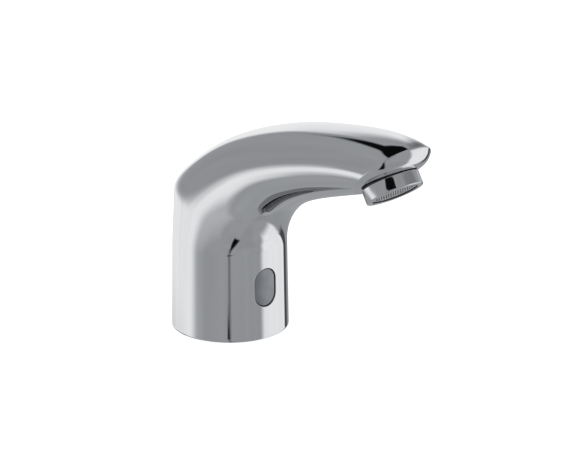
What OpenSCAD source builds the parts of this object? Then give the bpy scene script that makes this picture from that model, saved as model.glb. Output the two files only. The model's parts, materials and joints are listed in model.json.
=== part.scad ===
// Sensor tap: a round column that turns over into a tapering oval spout.
// The spout points along -Y, +Z is up and the origin is the column's centre on the deck.

/* [Casting] */
// Diameter of the column at the deck
base_d = 55; // [53:1:60]
// Draft of the column, in degrees a side
draft = 1; // [0:0.25:1.25]
// Wall thickness of the casting
wall = 3; // [2.5:0.1:3.2]
// Height at which the column starts to turn into the spout
column_h = 42; // [38:0.5:46]
// Reach of the nose tip from the column's axis
nose_reach = 128; // [124:1:136]
// Height of the nose tip above the deck
nose_h = 116; // [113:0.5:122]

/* [Outlet] */
// Reach of the outlet's centre on the spout's end face
outlet_reach = 112; // [110:0.5:114]
// Drop from the nose tip to the outlet's centre
outlet_drop = 18.5; // [17.5:0.5:19.5]
// Lean of the outlet's axis towards the user, in degrees
outlet_lean = 34; // [32:0.5:36]
// Outside diameter of the screwed collar
collar_d = 26; // [25.2:0.1:27]
// Length of the collar that hangs below the end face
collar_h = 6.5; // [5:0.1:8]
// Step from the collar's outside to its thread
collar_step = 1.1; // [0.8:0.1:1.4]
// Wall of the collar inside its thread
collar_wall = 1.3; // [1:0.1:1.6]
// Length of the collar's thread inside the nose
collar_thread_h = 8; // [7:0.1:9]

/* [Sensor] */
// Width of the sensor window
window_w = 12; // [10:0.5:14]
// Height of the sensor window
window_h = 18; // [16:0.5:20]
// Height of the window's centre above the deck
window_z = 25; // [24:0.5:27]
// Depth of the window's face below the column's surface
window_recess = 0.5; // [0.3:0.1:0.8]
// Thickness of the window at its centre
window_t = 2.2; // [2:0.1:2.6]
// Height of the sensor's housing
housing_h = 25; // [24:0.5:27]
// Width of the sensor's housing
housing_w = 17; // [16:0.5:18]
// Depth from the column's surface to the housing's back
housing_depth = 14.4; // [14:0.1:14.6]

/* [Base] */
// Thickness of the base plate
plate_h = 5; // [4:0.5:6]
// Thickness of the deck gasket
gasket_h = 1; // [0.8:0.1:1.2]
// Wall radius of the hole for the M8 fixing stud
stud_hole_r = 3.4; // [3:0.1:3.6]
// Height of the boss round the stud hole, above the plate
stud_boss_h = 8; // [5:0.5:12]
// Radius of the cable's way through the grommet
cable_r = 2; // [1.5:0.1:2.4]

/* [Valve] */
// Width of the valve block
block_w = 21.6; // [21.2:0.1:22]
// Height of the valve block above the base plate
block_h = 32; // [31:0.5:34]
// Wall radius of the M10 hose thread
inlet_r = 4.5; // [4.2:0.1:4.8]
// Length of the hose thread
inlet_thread_h = 9; // [8:0.5:9.5]
// Radius of the main seat's bore
seat_r = 2.5; // [2:0.1:2.8]
// Radius of the main piston
piston_r = 7.45; // [7:0.05:7.6]
// Lift of the main piston
piston_lift = 2; // [1.5:0.1:2]
// Lift of the plunger
plunger_lift = 3; // [2.5:0.1:3]
// Lift of the non-return valve's poppet
check_lift = 2; // [1.5:0.1:2.2]
// Height of the coil's winding
winding_h = 11; // [9:0.5:12]
// Outside radius of the coil's winding
winding_r = 9; // [8:0.1:9.4]
// Outside radius of the water tube
tube_r = 3.5; // [3:0.1:3.6]
// Clearance between the coil's top and the water tube that passes over it
tube_clear = 2.8; // [2:0.1:3.2]

/* [Hidden] */

// Smoothness, clearances and the overrun of every cut
fine_fn = 64;
round_fn = 40;
small_fn = 20;
cut = 1;
fit_gap = 0.1;
run_gap = 0.05;
seat_gap = 0.03;

// Column
base_r = base_d / 2;
column_top_r = base_r - column_h * tan(draft);
function outer_r(z) = base_r - z * tan(draft);
function cavity_r(z) = outer_r(z) - wall;

// Lines of the casting in its plane of symmetry, as [reach, height] control points.
// The outer line runs up the column's back, round the shoulder and along the crest to the nose tip.
// Its shares are of the way from the column's back to the tip and from column_h to nose_h.
outer_line_shares = [[0.01, 0.311], [-0.016, 0.362], [0.097, 0.553], [0.239, 0.737], [0.459, 0.897],
    [0.645, 0.978], [0.912, 1.055], [1, 1]];
// The inner line runs up the column's front, round the throat and under the spout to the end face's heel.
// Its shares are of the way from the column's front to the heel and from column_h to the heel's height.
inner_line_shares = [[0.067, 0.274], [0.158, 0.429], [0.256, 0.557], [0.402, 0.683], [0.558, 0.778],
    [0.684, 0.846], [0.869, 0.935], [1, 1]];
// Half widths of the sections, as shares of the column's radius at column_h
half_width_shares = [0.997, 0.983, 0.925, 0.861, 0.804, 0.753, 0.7, 0.664];
column_lead_share = 0.064;
heel_drop_share = 1.214;
cavity_end_share = 0.74;
outer_ring_count = 34;
cavity_ring_count = 20;
column_ring_count = 3;
section_points = 48;

// Outlet frame: out runs down and forward along the outlet's axis, along runs up the end face
outlet_out = [sin(outlet_lean), -cos(outlet_lean)];
outlet_along = [cos(outlet_lean), sin(outlet_lean)];
outlet_mid = [outlet_reach, nose_h - outlet_drop];
heel = outlet_mid - outlet_along * collar_d / 2 * heel_drop_share;
column_lead = column_lead_share * (nose_h - column_h);
outer_line = concat(
    [[-column_top_r, column_h], [-column_top_r + column_lead * tan(draft), column_h + column_lead]],
    [for (p = outer_line_shares)
        [-column_top_r + p[0] * (nose_reach + column_top_r), column_h + p[1] * (nose_h - column_h)]]);
inner_line = concat(
    [[column_top_r, column_h], [column_top_r - column_lead * tan(draft), column_h + column_lead]],
    [for (p = inner_line_shares)
        [column_top_r + p[0] * (heel[0] - column_top_r), column_h + p[1] * (heel[1] - column_h)]]);
half_widths = concat([column_top_r, column_top_r - column_lead * tan(draft)],
    [for (s = half_width_shares) s * column_top_r]);

// Clamped uniform cubic B-spline through a list of control points
function knot(i, n) = min(max(i - 3, 0), n - 3) / (n - 3);
function part_of(a, b) = b == 0 ? 0 : a / b;
function lerp(a, b, t) = a + t * (b - a);
function blend(i, p, u, n) = p == 0 ? (u >= knot(i, n) && u < knot(i + 1, n) ? 1 : 0)
    : part_of(u - knot(i, n), knot(i + p, n) - knot(i, n)) * blend(i, p - 1, u, n)
    + part_of(knot(i + p + 1, n) - u, knot(i + p + 1, n) - knot(i + 1, n)) * blend(i + 1, p - 1, u, n);
function sum_of(v, i = 0) = i == len(v) - 1 ? v[i] : v[i] + sum_of(v, i + 1);
function spline(points, u) = let (n = len(points))
    u >= 1 ? points[n - 1] : sum_of([for (i = [0 : n - 1]) points[i] * blend(i, 3, u, n)]);

// One oval section between a point of the outer line and one of the inner line, shrunk by inset.
// For the end face, share shrinks it about its centre, and base and tilt push it out of its plane.
function section(outer, inner, half_w, inset = 0, share = 1, base = 0, tilt = 0) =
    let (height = norm(outer - inner), up = (outer - inner) / height, mid = (outer + inner) / 2,
         forward = [up[1], -up[0]])
    [for (i = [0 : section_points - 1])
        let (a = 360 * i / section_points,
             v = share * (height / 2 - inset) * sin(a),
             p = mid + up * v + forward * (base + tilt * v))
        [share * (half_w - inset) * cos(a), -p[0], p[1]]];
function column_section(z, inset = 0) =
    section([-outer_r(z), z], [outer_r(z), z], outer_r(z), inset);
function spout_section(u, inset = 0) =
    section(spline(outer_line, u), spline(inner_line, u), spline(half_widths, u), inset);

// End face: it swells out of the last section until it lies square to the outlet's axis round the collar
tip = outer_line[len(outer_line) - 1];
face_height = norm(tip - heel);
face_up = (tip - heel) / face_height;
face_forward = [face_up[1], -face_up[0]];
face_mid = (tip + heel) / 2;
outlet_offset = outlet_mid - face_mid;
face_tilt = (outlet_along * face_forward) / (outlet_along * face_up);
face_base = outlet_offset * face_forward - face_tilt * (outlet_offset * face_up);
face_ring_shares = [0.97, 0.93, 0.88, 0.8, 0.68, 0.5, 0.25];
face_power = 5;
function face_section(share) =
    let (swell = 1 - pow(share, face_power), top = half_widths[len(half_widths) - 1])
    section(tip, heel, top, 0, share, face_base * swell, face_tilt * swell);
face_centre = let (p = face_mid + face_forward * face_base) [0, -p[0], p[1]];

outer_rings = concat(
    [for (i = [0 : column_ring_count - 1]) column_section(column_h * i / column_ring_count)],
    [for (i = [0 : outer_ring_count]) spout_section(i / outer_ring_count)],
    [for (s = face_ring_shares) face_section(s)]);
cavity_rings = concat(
    [for (i = [0 : column_ring_count - 1]) column_section(column_h * i / column_ring_count, wall)],
    [for (i = [0 : cavity_ring_count]) spout_section(cavity_end_share * i / cavity_ring_count, wall)]);

// Skin between neighbouring rings, from ring first to ring last of a list that starts at point start
function ring_skin(start, count, flip) = [for (k = [0 : count - 2]) for (i = [0 : section_points - 1])
    let (j = (i + 1) % section_points, a = start + k * section_points, b = a + section_points)
    for (t = [[a + i, a + j, b + i], [a + j, b + j, b + i]]) flip ? [t[2], t[1], t[0]] : t];
function ring_fan(start, centre, flip) = [for (i = [0 : section_points - 1])
    let (j = (i + 1) % section_points)
    flip ? [centre, start + j, start + i] : [start + i, start + j, centre]];
function rim(a, b) = [for (i = [0 : section_points - 1]) let (j = (i + 1) % section_points)
    for (t = [[a + i, a + j, b + i], [a + j, b + j, b + i]]) t];

module casting_skin() {
    n = section_points;
    outer_count = len(outer_rings);
    cavity_count = len(cavity_rings);
    cavity_start = outer_count * n;
    face_point = (outer_count + cavity_count) * n;
    last = cavity_rings[cavity_count - 1];
    polyhedron(
        points = concat([for (r = outer_rings) each r], [for (r = cavity_rings) each r],
            [face_centre, sum_of(last) / n]),
        faces = concat(ring_skin(0, outer_count, true), ring_fan(cavity_start - n, face_point, true),
            ring_skin(cavity_start, cavity_count, false),
            ring_fan(face_point - n, face_point + 1, false), rim(0, cavity_start)));
}

// General shapes
module tube(r, bore_r, h, fn = round_fn) {
    difference() {
        cylinder(r = r, h = h, $fn = fn);
        translate([0, 0, -cut]) cylinder(r = bore_r, h = h + 2 * cut, $fn = fn);
    }
}
module stadium(w, h, depth, fn = round_fn) {
    for (side = [-1, 1]) translate([0, 0, side * (h - w) / 2]) rotate([90, 0, 0])
        cylinder(d = w, h = depth, $fn = fn);
    translate([-w / 2, -depth, -(h - w) / 2]) cube([w, depth, h - w]);
}
module o_ring(bore_r, wire_r) {
    rotate_extrude($fn = round_fn) translate([bore_r + wire_r, 0]) circle(r = wire_r, $fn = small_fn);
}
module at_outlet() {
    translate([0, -outlet_mid[0], outlet_mid[1]]) rotate([-outlet_lean, 0, 0]) children();
}
spring_steps = 12;
spring_sides = 6;
module spring(r, wire_r, h, turns) {
    count = turns * spring_steps;
    rise = h - 2 * wire_r;
    rings = [for (i = [0 : count]) let (a = 360 * i / spring_steps, z = wire_r + rise * i / count)
        [for (k = [0 : spring_sides - 1]) let (b = 360 * k / spring_sides, d = r + wire_r * cos(b))
            [d * cos(a), d * sin(a), z + wire_r * sin(b)]]];
    m = spring_sides;
    polyhedron(points = [for (ring = rings) each ring],
        faces = concat([for (i = [0 : count - 1]) for (k = [0 : m - 1])
                let (j = (k + 1) % m, a = i * m, b = a + m)
                each [[a + k, a + j, b + k], [a + j, b + j, b + k]]],
            [[for (k = [m - 1 : -1 : 0]) k]], [[for (k = [0 : m - 1]) count * m + k]]));
}

// Base plate, its stud, grommet and screws
plate_z = gasket_h;
plate_top = plate_z + plate_h;
plate_r = cavity_r(plate_top) - fit_gap;
side_hole_edge = 7.4;
side_hole_x = plate_r - side_hole_edge;
side_hole_y = -1;
stud_boss_r = 4.8;
lug_r = 4.2;
lug_h = 8;
lug_bite = 0.7;
lug_reach = cavity_r(0) - lug_r + lug_bite;
lug_angles = [-35, 35, 145, 215];
base_screw_r = 1.5;
base_screw_head_r = 2.6;
base_screw_head_h = 1.6;
base_screw_bite = 5;
base_screw_h = plate_h + base_screw_bite;
module at_lugs() {
    for (a = lug_angles) rotate([0, 0, a]) translate([lug_reach, 0, 0]) children();
}
module base_screw_cut(gap) {
    translate([0, 0, plate_z - cut])
        cylinder(r = base_screw_head_r + gap, h = base_screw_head_h + cut, $fn = small_fn);
    cylinder(r = base_screw_r + gap, h = plate_z + base_screw_h, $fn = small_fn);
}

// Valve block, seen from the piston's axis. Everything is stacked on the base plate.
axis_y = 2.5;
inlet_y = -3.5;
block_front = 11.7;
block_back = 10.7;
inlet_boss_r = 6.5;
inlet_step = 0.2;
inlet_z = plate_z + inlet_step;
thread_top = inlet_z + inlet_thread_h;
strainer_h = 1.4;
check_bore_r = 4;
check_h = 12.4;
check_z = thread_top + strainer_h;
block_z = plate_top;
block_top = block_z + block_h;
chamber_r = 8.3;
chamber_h = 6;
chamber_z = block_top - chamber_h;
seat_wall = 1.2;
seat_h = 4;
seat_z = chamber_z + seat_h;
cross_cover = 2;
cross_z = chamber_z - seat_r - cross_cover;
feed_r = 2.2;
riser_r = 5.6;
riser_boss_h = 8;
riser_socket_h = 10;
riser_top = block_top + riser_boss_h;
riser_gap = 0.4;
riser_y = cavity_r(riser_top) - riser_r - riser_gap;
riser_bore_r = 2.6;
o_ring_wire = 0.6;
o_ring_h = 1.8;
valve_screw_x = 8.2;
valve_screw_y = 6;
valve_screw_r = 1.5;
valve_screw_head_r = 2.8;
valve_screw_head_h = 2;
valve_screw_bite = 5;
valve_screw_h = plate_h + valve_screw_bite;

// Bonnet, piston and solenoid
bonnet_gasket_h = 0.6;
bonnet_z = block_top + bonnet_gasket_h;
bonnet_flange_h = 2.6;
bonnet_cap_h = 2;
bonnet_r = 9.3;
bonnet_bore_r = piston_r + run_gap;
bonnet_screw_x = 8.4;
bonnet_screw_front = 9.2;
bonnet_screw_back = 8.2;
bonnet_screw_r = 1.25;
bonnet_screw_head_r = 2.2;
bonnet_screw_head_h = 1.6;
bonnet_screw_h = 8;
piston_seal_h = 1.2;
piston_seal_rim = 1;
piston_seal_r = seat_r + seat_wall + piston_seal_rim;
piston_foot_h = 1;
piston_skirt_h = 4.2;
piston_z = seat_z + seat_gap;
piston_skirt_z = piston_z + piston_seal_h + piston_foot_h;
piston_wall = 1;
piston_air = 1.2;
core_flange_h = 1;
core_flange_z = piston_skirt_z + piston_skirt_h + piston_lift + piston_air;
bonnet_bore_h = core_flange_z + core_flange_h - bonnet_z;
bonnet_top = bonnet_z + bonnet_bore_h + bonnet_cap_h;
pilot_r = 0.8;
pilot_wall = 1.2;
pilot_h = 3.6;
pilot_top = piston_skirt_z + pilot_h;
core_r = 4.6;
core_wall = 0.5;
core_flange_r = 6.8;
plunger_r = core_r - core_wall - run_gap;
plunger_tip_r = 2.4;
plunger_tip_h = 1.6;
plunger_z = pilot_top + seat_gap;
plunger_h = 13.5;
plunger_top = plunger_z + plunger_h;
plunger_air = 0.5;
plunger_pocket_h = 4;
pole_z = plunger_top + plunger_lift + plunger_air;
yoke_t = 1;
yoke_d = 12;
flange_t = 1;
bobbin_wall = 0.8;
bobbin_z = bonnet_top + yoke_t;
bobbin_h = winding_h + 2 * flange_t;
yoke_top = bobbin_z + bobbin_h + yoke_t;
nut_h = 2;
nut_r = 5.8;
core_top = yoke_top + nut_h;
yoke_x = winding_r + flange_t;

// Water tube: up behind the coil, over it and along the spout to the outlet's side
tube_wall = 0.9;
tube_bend_r = 14;
bend_step = 0.1;
tube_lap = 0.3;
tube_collar_wall = 0.6;
tube_collar_h = 4;
outlet_chamber_r = 6;
outlet_chamber_h = 6.5;
thread_r = collar_d / 2 - collar_step;
socket_r = thread_r + fit_gap;
aerator_gasket_h = 1.5;
socket_h = collar_thread_h + aerator_gasket_h;
outlet_entry = outlet_mid - outlet_out * (socket_h + outlet_chamber_h / 2);
tube_end_gap = 7;
bend_mid_reach = -riser_y + tube_bend_r;
bend_z = core_top + tube_clear + tube_r - tube_bend_r;
entry_way = outlet_entry - [bend_mid_reach, bend_z];
tube_slope = atan2(entry_way[1], entry_way[0]) - asin(tube_bend_r / norm(entry_way));
bend_exit = [bend_mid_reach - tube_bend_r * sin(tube_slope), bend_z + tube_bend_r * cos(tube_slope)];
tube_run = norm(outlet_entry - bend_exit) - tube_end_gap;
tube_foot_z = riser_top - riser_socket_h;
module along_tube() {
    translate([0, -bend_exit[0], bend_exit[1]]) rotate([90 - tube_slope, 0, 0]) children();
}

// Sensor window and what stands behind it
window_front = outer_r(window_z);
window_gap = 0.25;
lens_back = window_front - window_recess - window_t;
gasket_t = 1.5;
gasket_wall = 1.3;
housing_wall = 1.6;
housing_front_r = cavity_r(window_z + housing_h / 2) - fit_gap;
housing_back = window_front - housing_depth;
gasket_back = lens_back - gasket_t;
housing_face_t = 1.5;
housing_room_front = gasket_back - housing_face_t;
cover_t = 1.5;
board_t = 1.6;
board_gap = 0.2;
chip_w = 5;
chip_t = 1.2;
cap_r = 1.9;
cap_h = 2.6;
cap_gap = 0.4;
board_front = housing_back + cap_gap + cap_h + board_t;
led_spread = 5;
led_r = 1.5;
led_flange_r = 1.9;
led_flange_h = 0.8;
lead_r = 0.25;
cover_screw_r = 0.8;
cover_screw_head_r = 1.5;
cover_screw_head_h = 0.8;
cover_screw_h = 5;
cover_screw_x = 5;
housing_end_wall = 3.2;
cover_screw_z = (housing_h - housing_end_wall) / 2;
bracket_t = 1;
bracket_w = 14;
bracket_foot = 6;
bracket_gap = 0.1;
bracket_front = housing_back - cover_t - bracket_gap;
bracket_top = window_z + housing_h / 4;
bracket_screw_x = 5;
bracket_screw_r = 1.25;
bracket_screw_head_r = 2.2;
bracket_screw_head_h = 1;
bracket_screw_h = 4;
bracket_screw_y = -bracket_front - bracket_screw_head_r - fit_gap;

// Small screws, springs, the grommet and the lead
drive_share = 0.6;
grommet_r = 4;
grommet_flange_r = 5.2;
grommet_flange_h = 1.2;
base_gasket_w = 4;
strainer_rim = 0.8;
strainer_pitch = 1;
strainer_wire = 0.25;
cage_r = check_bore_r - fit_gap;
cage_wall = 0.9;
check_seat_r = 1.9;
poppet_seal_h = 0.8;
poppet_r = 2.5;
poppet_z = check_z + cage_wall + poppet_seal_h;
poppet_h = 0.8;
poppet_stem_r = 0.7;
guide_r = 1.3;
guide_wall = 0.6;
guide_h = 1.2;
guide_z = check_h - check_lift - guide_h;
poppet_stem_h = check_z + guide_z + guide_h - poppet_z;
spring_wire = 0.25;
check_spring_r = 1.8;
check_turns = 4;
piston_spring_r = 5.6;
piston_turns = 3;
plunger_spring_r = 1.9;
plunger_turns = 6;
bleed_r = 0.4;
jack_w = 6;
jack_h = 3;
jack_t = 2.4;
room_w = housing_w - 2 * housing_wall;
room_h = housing_h - 2 * housing_end_wall;
board_w = room_w - 2 * board_gap;
board_h = room_h - 2 * board_gap;
jack_top = window_z + board_h / 2 - board_gap;
lead_y = -board_front + board_t + jack_t / 2;
lead_wire_r = 0.9;
lead_sway = 1.2;
lead_sides = 8;
lead_ring_count = 16;
plug_w = 7;
plug_d = 4.4;
plug_h = 5;
terminal_h = 2;
terminal_z = bobbin_z + bobbin_h - terminal_h;
plug_z = terminal_z - plug_h - fit_gap;
blade_x = 2;
blade_w = 1.6;
blade_t = 0.6;
blade_h = 4;

// Casting: drilled for the outlet and the tube, cut for the window, with four lugs for the base plate
module body_shell() {
    color("gainsboro") difference() {
        union() {
            casting_skin();
            at_lugs() translate([0, 0, plate_top]) cylinder(r = lug_r, h = lug_h, $fn = small_fn);
        }
        at_outlet() {
            translate([0, 0, -collar_h]) cylinder(r = socket_r, h = collar_h + socket_h, $fn = fine_fn);
            cylinder(r = outlet_chamber_r, h = socket_h + outlet_chamber_h, $fn = round_fn);
        }
        along_tube() {
            cylinder(r = tube_r + run_gap, h = tube_run + tube_end_gap, $fn = round_fn);
            translate([0, 0, tube_run - riser_socket_h])
                cylinder(r = tube_r + 2 * o_ring_wire, h = o_ring_h, $fn = round_fn);
        }
        translate([0, -lens_back + wall, window_z])
            stadium(window_w + 2 * window_gap, window_h + 2 * window_gap, window_front + wall);
        at_lugs() translate([0, 0, plate_top - cut])
            cylinder(r = base_screw_r, h = base_screw_h - plate_h + cut + fit_gap, $fn = small_fn);
    }
}

// Aerator: a screwed collar holding the ribbed insert, the jet plate, the screen and the seal
collar_gap = 0.7;
lip_h = 0.8;
lip_w = 0.3;
sleeve_bore_r = thread_r - collar_wall;
mouth_r = sleeve_bore_r - lip_w;
insert_r = sleeve_bore_r - fit_gap;
sleeve_chamfer = 0.5;
insert_z = -collar_h + lip_h;
insert_wall = 1;
grille_h = 1.6;
rib_t = 0.6;
rib_count = 24;
grille_ring_shares = [0.4, 0.69];
grille_hub_r = grille_ring_shares[0] * insert_r;
jet_plate_h = 1.4;
jet_hole_r = 0.6;
jet_ring_shares = [0.33, 0.59, 0.82];
jet_counts = [6, 12, 16];
screen_h = 0.4;
insert_h = collar_h - lip_h + collar_thread_h - jet_plate_h - screen_h - 4 * seat_gap;
screen_rim = 1.2;
screen_pitch = 2.2;
screen_wire = 0.5;
module aerator_sleeve() {
    color("silver") at_outlet() rotate_extrude($fn = fine_fn) polygon([
        [mouth_r, -collar_h],
        [collar_d / 2 - sleeve_chamfer, -collar_h],
        [collar_d / 2, -collar_h + sleeve_chamfer],
        [collar_d / 2, -collar_gap - sleeve_chamfer / 2],
        [collar_d / 2 - sleeve_chamfer / 2, -collar_gap],
        [thread_r, -collar_gap],
        [thread_r, collar_thread_h],
        [sleeve_bore_r, collar_thread_h],
        [sleeve_bore_r, insert_z],
        [mouth_r, insert_z]]);
}
module aerator_insert() {
    color("whitesmoke") at_outlet() translate([0, 0, insert_z + seat_gap]) {
        tube(insert_r, insert_r - insert_wall, insert_h, fine_fn);
        for (s = grille_ring_shares) tube(s * insert_r + rib_t / 2, s * insert_r - rib_t / 2, grille_h);
        for (i = [0 : rib_count - 1]) rotate([0, 0, 360 * i / rib_count])
            translate([grille_hub_r, -rib_t / 2, 0])
                cube([insert_r - insert_wall / 2 - grille_hub_r, rib_t, grille_h]);
        for (a = [0, 90]) rotate([0, 0, a]) translate([-grille_hub_r, -rib_t / 2, 0])
            cube([2 * grille_hub_r, rib_t, grille_h]);
    }
}
module jet_plate() {
    color("white") at_outlet() translate([0, 0, insert_z + insert_h + 2 * seat_gap]) difference() {
        cylinder(r = insert_r, h = jet_plate_h, $fn = round_fn);
        for (k = [0 : len(jet_counts) - 1]) for (i = [0 : jet_counts[k] - 1])
            rotate([0, 0, 360 * i / jet_counts[k]]) translate([jet_ring_shares[k] * insert_r, 0, -cut])
                cylinder(r = jet_hole_r, h = jet_plate_h + 2 * cut, $fn = 6);
    }
}
screen_z = insert_z + insert_h + jet_plate_h + 3 * seat_gap;
module aerator_screen() {
    count = floor((insert_r - screen_rim) / screen_pitch);
    color("darkgray") at_outlet() translate([0, 0, screen_z]) {
        tube(insert_r, insert_r - screen_rim, screen_h);
        intersection() {
            cylinder(r = insert_r - screen_rim / 2, h = screen_h, $fn = round_fn);
            for (a = [0, 90]) rotate([0, 0, a]) for (i = [-count : count])
                translate([-insert_r, i * screen_pitch - screen_wire / 2, 0])
                    cube([2 * insert_r, screen_wire, screen_h]);
        }
    }
}
module aerator_gasket() {
    color("dimgray") at_outlet() translate([0, 0, collar_thread_h + seat_gap])
        tube(socket_r - fit_gap, sleeve_bore_r - insert_wall, aerator_gasket_h - 2 * seat_gap);
}

// Waterway from the valve to the outlet: a riser, a bend and a run, with a collar over each joint
module tube_collar() {
    translate([0, 0, -tube_collar_h / 2])
        tube(tube_r + tube_collar_wall, tube_r - tube_wall / 2, tube_collar_h);
}
module spout_tube() {
    bore_r = tube_r - tube_wall;
    color("peru") {
        translate([0, riser_y, tube_foot_z + seat_gap])
            tube(tube_r, bore_r, bend_z - tube_foot_z - seat_gap + tube_lap);
        translate([0, riser_y - tube_bend_r, bend_z]) rotate([90, 0, 90])
            rotate_extrude(angle = 90 - tube_slope, $fn = fine_fn) translate([tube_bend_r, 0]) difference() {
                circle(r = tube_r + bend_step, $fn = round_fn);
                circle(r = bore_r - bend_step, $fn = round_fn);
            }
        along_tube() translate([0, 0, -tube_lap]) tube(tube_r, bore_r, tube_run + tube_lap);
        translate([0, riser_y, bend_z]) tube_collar();
        along_tube() tube_collar();
    }
}
module tube_o_rings() {
    color("black") {
        translate([0, riser_y, riser_top - o_ring_h / 2]) o_ring(tube_r + seat_gap, o_ring_wire - seat_gap);
        along_tube() translate([0, 0, tube_run - riser_socket_h + o_ring_h / 2])
            o_ring(tube_r + seat_gap, o_ring_wire - seat_gap);
    }
}

// Sensor
module sensor_lens() {
    color("dimgray") intersection() {
        translate([0, -lens_back, window_z]) stadium(window_w, window_h, window_front);
        cylinder(r1 = base_r - window_recess, r2 = column_top_r - window_recess, h = column_h,
            $fn = fine_fn);
    }
}
module lens_gasket() {
    color("black") translate([0, -gasket_back - seat_gap, window_z]) difference() {
        stadium(window_w, window_h, gasket_t - 2 * seat_gap);
        translate([0, cut, 0])
            stadium(window_w - 2 * gasket_wall, window_h - 2 * gasket_wall, gasket_t + 2 * cut);
    }
}
module sensor_housing() {
    color("#202225") difference() {
        intersection() {
            translate([-housing_w / 2, -window_front, window_z - housing_h / 2])
                cube([housing_w, housing_depth, housing_h]);
            cylinder(r = housing_front_r, h = column_h + housing_h, $fn = fine_fn);
        }
        translate([0, -gasket_back, window_z])
            stadium(window_w + 2 * fit_gap, window_h + 2 * fit_gap, window_front);
        translate([-room_w / 2, -housing_room_front, window_z - room_h / 2])
            cube([room_w, housing_room_front, room_h]);
        for (side = [-1, 1]) translate([0, -housing_room_front + cut, window_z + side * led_spread])
            rotate([90, 0, 0]) cylinder(r = led_r + fit_gap, h = housing_face_t + 2 * cut, $fn = small_fn);
        translate([0, lead_y, jack_top]) cylinder(r = lead_wire_r + fit_gap, h = housing_h, $fn = small_fn);
        at_cover_screws() cylinder(r = cover_screw_r, h = cover_screw_h + fit_gap, $fn = small_fn);
    }
}
module led(side) {
    translate([0, -board_front, window_z + side * led_spread]) rotate([90, 0, 0]) {
        stem = housing_room_front - board_front - led_flange_h;
        translate([0, 0, stem]) cylinder(r = led_flange_r, h = led_flange_h - seat_gap, $fn = small_fn);
        translate([0, 0, stem]) cylinder(r = led_r, h = led_flange_h + housing_face_t, $fn = small_fn);
        for (x = [-1, 1]) translate([x * led_r / 2, 0, 0]) cylinder(r = lead_r, h = stem, $fn = small_fn);
    }
}
module ir_emitter() {
    color("#3a2a4a") led(1);
}
module ir_receiver() {
    color("#1a1a1a") led(-1);
}
module sensor_board() {
    color("darkgreen") translate([-board_w / 2, -board_front, window_z - board_h / 2])
        cube([board_w, board_t, board_h]);
}
module board_components() {
    back = -board_front + board_t;
    color("#2b2b2b") {
        translate([-chip_w / 2, back, window_z - chip_w]) cube([chip_w, chip_t, chip_w]);
        for (side = [-1, 1]) translate([side * board_w / 3, back, window_z + chip_w / 2])
            rotate([-90, 0, 0]) cylinder(r = cap_r, h = cap_h, $fn = small_fn);
        translate([-jack_w / 2, back, jack_top - jack_h]) cube([jack_w, jack_t, jack_h]);
    }
}
module at_cover_screws() {
    for (side = [-1, 1])
        translate([side * cover_screw_x, -housing_back + cover_t, window_z + side * cover_screw_z])
            rotate([90, 0, 0]) children();
}
module sensor_cover() {
    color("#202225") difference() {
        translate([-housing_w / 2, -housing_back + seat_gap, window_z - housing_h / 2])
            cube([housing_w, cover_t - seat_gap, housing_h]);
        at_cover_screws() {
            translate([0, 0, -cut])
                cylinder(r = cover_screw_r + fit_gap, h = cover_t + 2 * cut, $fn = small_fn);
            translate([0, 0, -cut])
                cylinder(r = cover_screw_head_r + fit_gap, h = cover_screw_head_h + cut, $fn = small_fn);
        }
    }
}
module cap_screw(r, head_r, head_h, h) {
    difference() {
        union() {
            cylinder(r = head_r, h = head_h, $fn = small_fn);
            cylinder(r = r, h = h, $fn = small_fn);
        }
        translate([0, 0, -cut]) cylinder(r = r * drive_share, h = cut + head_h * drive_share, $fn = 6);
    }
}
module sensor_cover_screws() {
    color("silver") at_cover_screws()
        cap_screw(cover_screw_r - seat_gap, cover_screw_head_r, cover_screw_head_h, cover_screw_h);
}
module at_bracket_screws() {
    for (x = [-1, 1]) translate([x * bracket_screw_x, bracket_screw_y, plate_top + bracket_t]) children();
}
module sensor_bracket() {
    color("silver") difference() {
        union() {
            translate([-bracket_w / 2, bracket_t - bracket_front - bracket_foot, plate_top])
                cube([bracket_w, bracket_foot, bracket_t]);
            translate([-bracket_w / 2, -bracket_front, plate_top])
                cube([bracket_w, bracket_t, bracket_top - plate_top]);
        }
        at_bracket_screws() translate([0, 0, -bracket_t - cut])
            cylinder(r = bracket_screw_r + fit_gap, h = bracket_t + 2 * cut, $fn = small_fn);
    }
}
module bracket_screws() {
    color("silver") at_bracket_screws() translate([0, 0, bracket_screw_head_h]) rotate([180, 0, 0])
        cap_screw(bracket_screw_r - seat_gap, bracket_screw_head_r, bracket_screw_head_h, bracket_screw_h);
}

// Lead from the board's socket up through the housing's top to the coil's plug
lead_route = [
    [0, lead_y, jack_top],
    [0, lead_y, jack_top + housing_end_wall],
    [0, lead_y, jack_top + 2 * housing_end_wall],
    [lead_sway, lead_y, lerp(jack_top, plug_z, 1 / 3)],
    [lead_sway, lead_y - lead_sway, lerp(jack_top, plug_z, 2 / 3)],
    [0, lead_y, plug_z - housing_end_wall],
    [0, lead_y, plug_z]];
module sensor_lead() {
    color("black") {
        polyhedron(
            points = [for (i = [0 : lead_ring_count]) let (p = spline(lead_route, i / lead_ring_count))
                each [for (k = [0 : lead_sides - 1]) let (a = 360 * k / lead_sides)
                    p + lead_wire_r * [cos(a), sin(a), 0]]],
            faces = concat([for (i = [0 : lead_ring_count - 1]) for (k = [0 : lead_sides - 1])
                    let (j = (k + 1) % lead_sides, a = i * lead_sides, b = a + lead_sides)
                    each [[a + k, b + k, a + j], [a + j, b + k, b + j]]],
                [[for (k = [0 : lead_sides - 1]) k]],
                [[for (k = [lead_sides - 1 : -1 : 0]) lead_ring_count * lead_sides + k]]));
    }
}
module at_blades() {
    for (x = [-1, 1]) translate([x * blade_x - blade_w / 2, lead_y - blade_t / 2, 0]) children();
}
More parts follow.
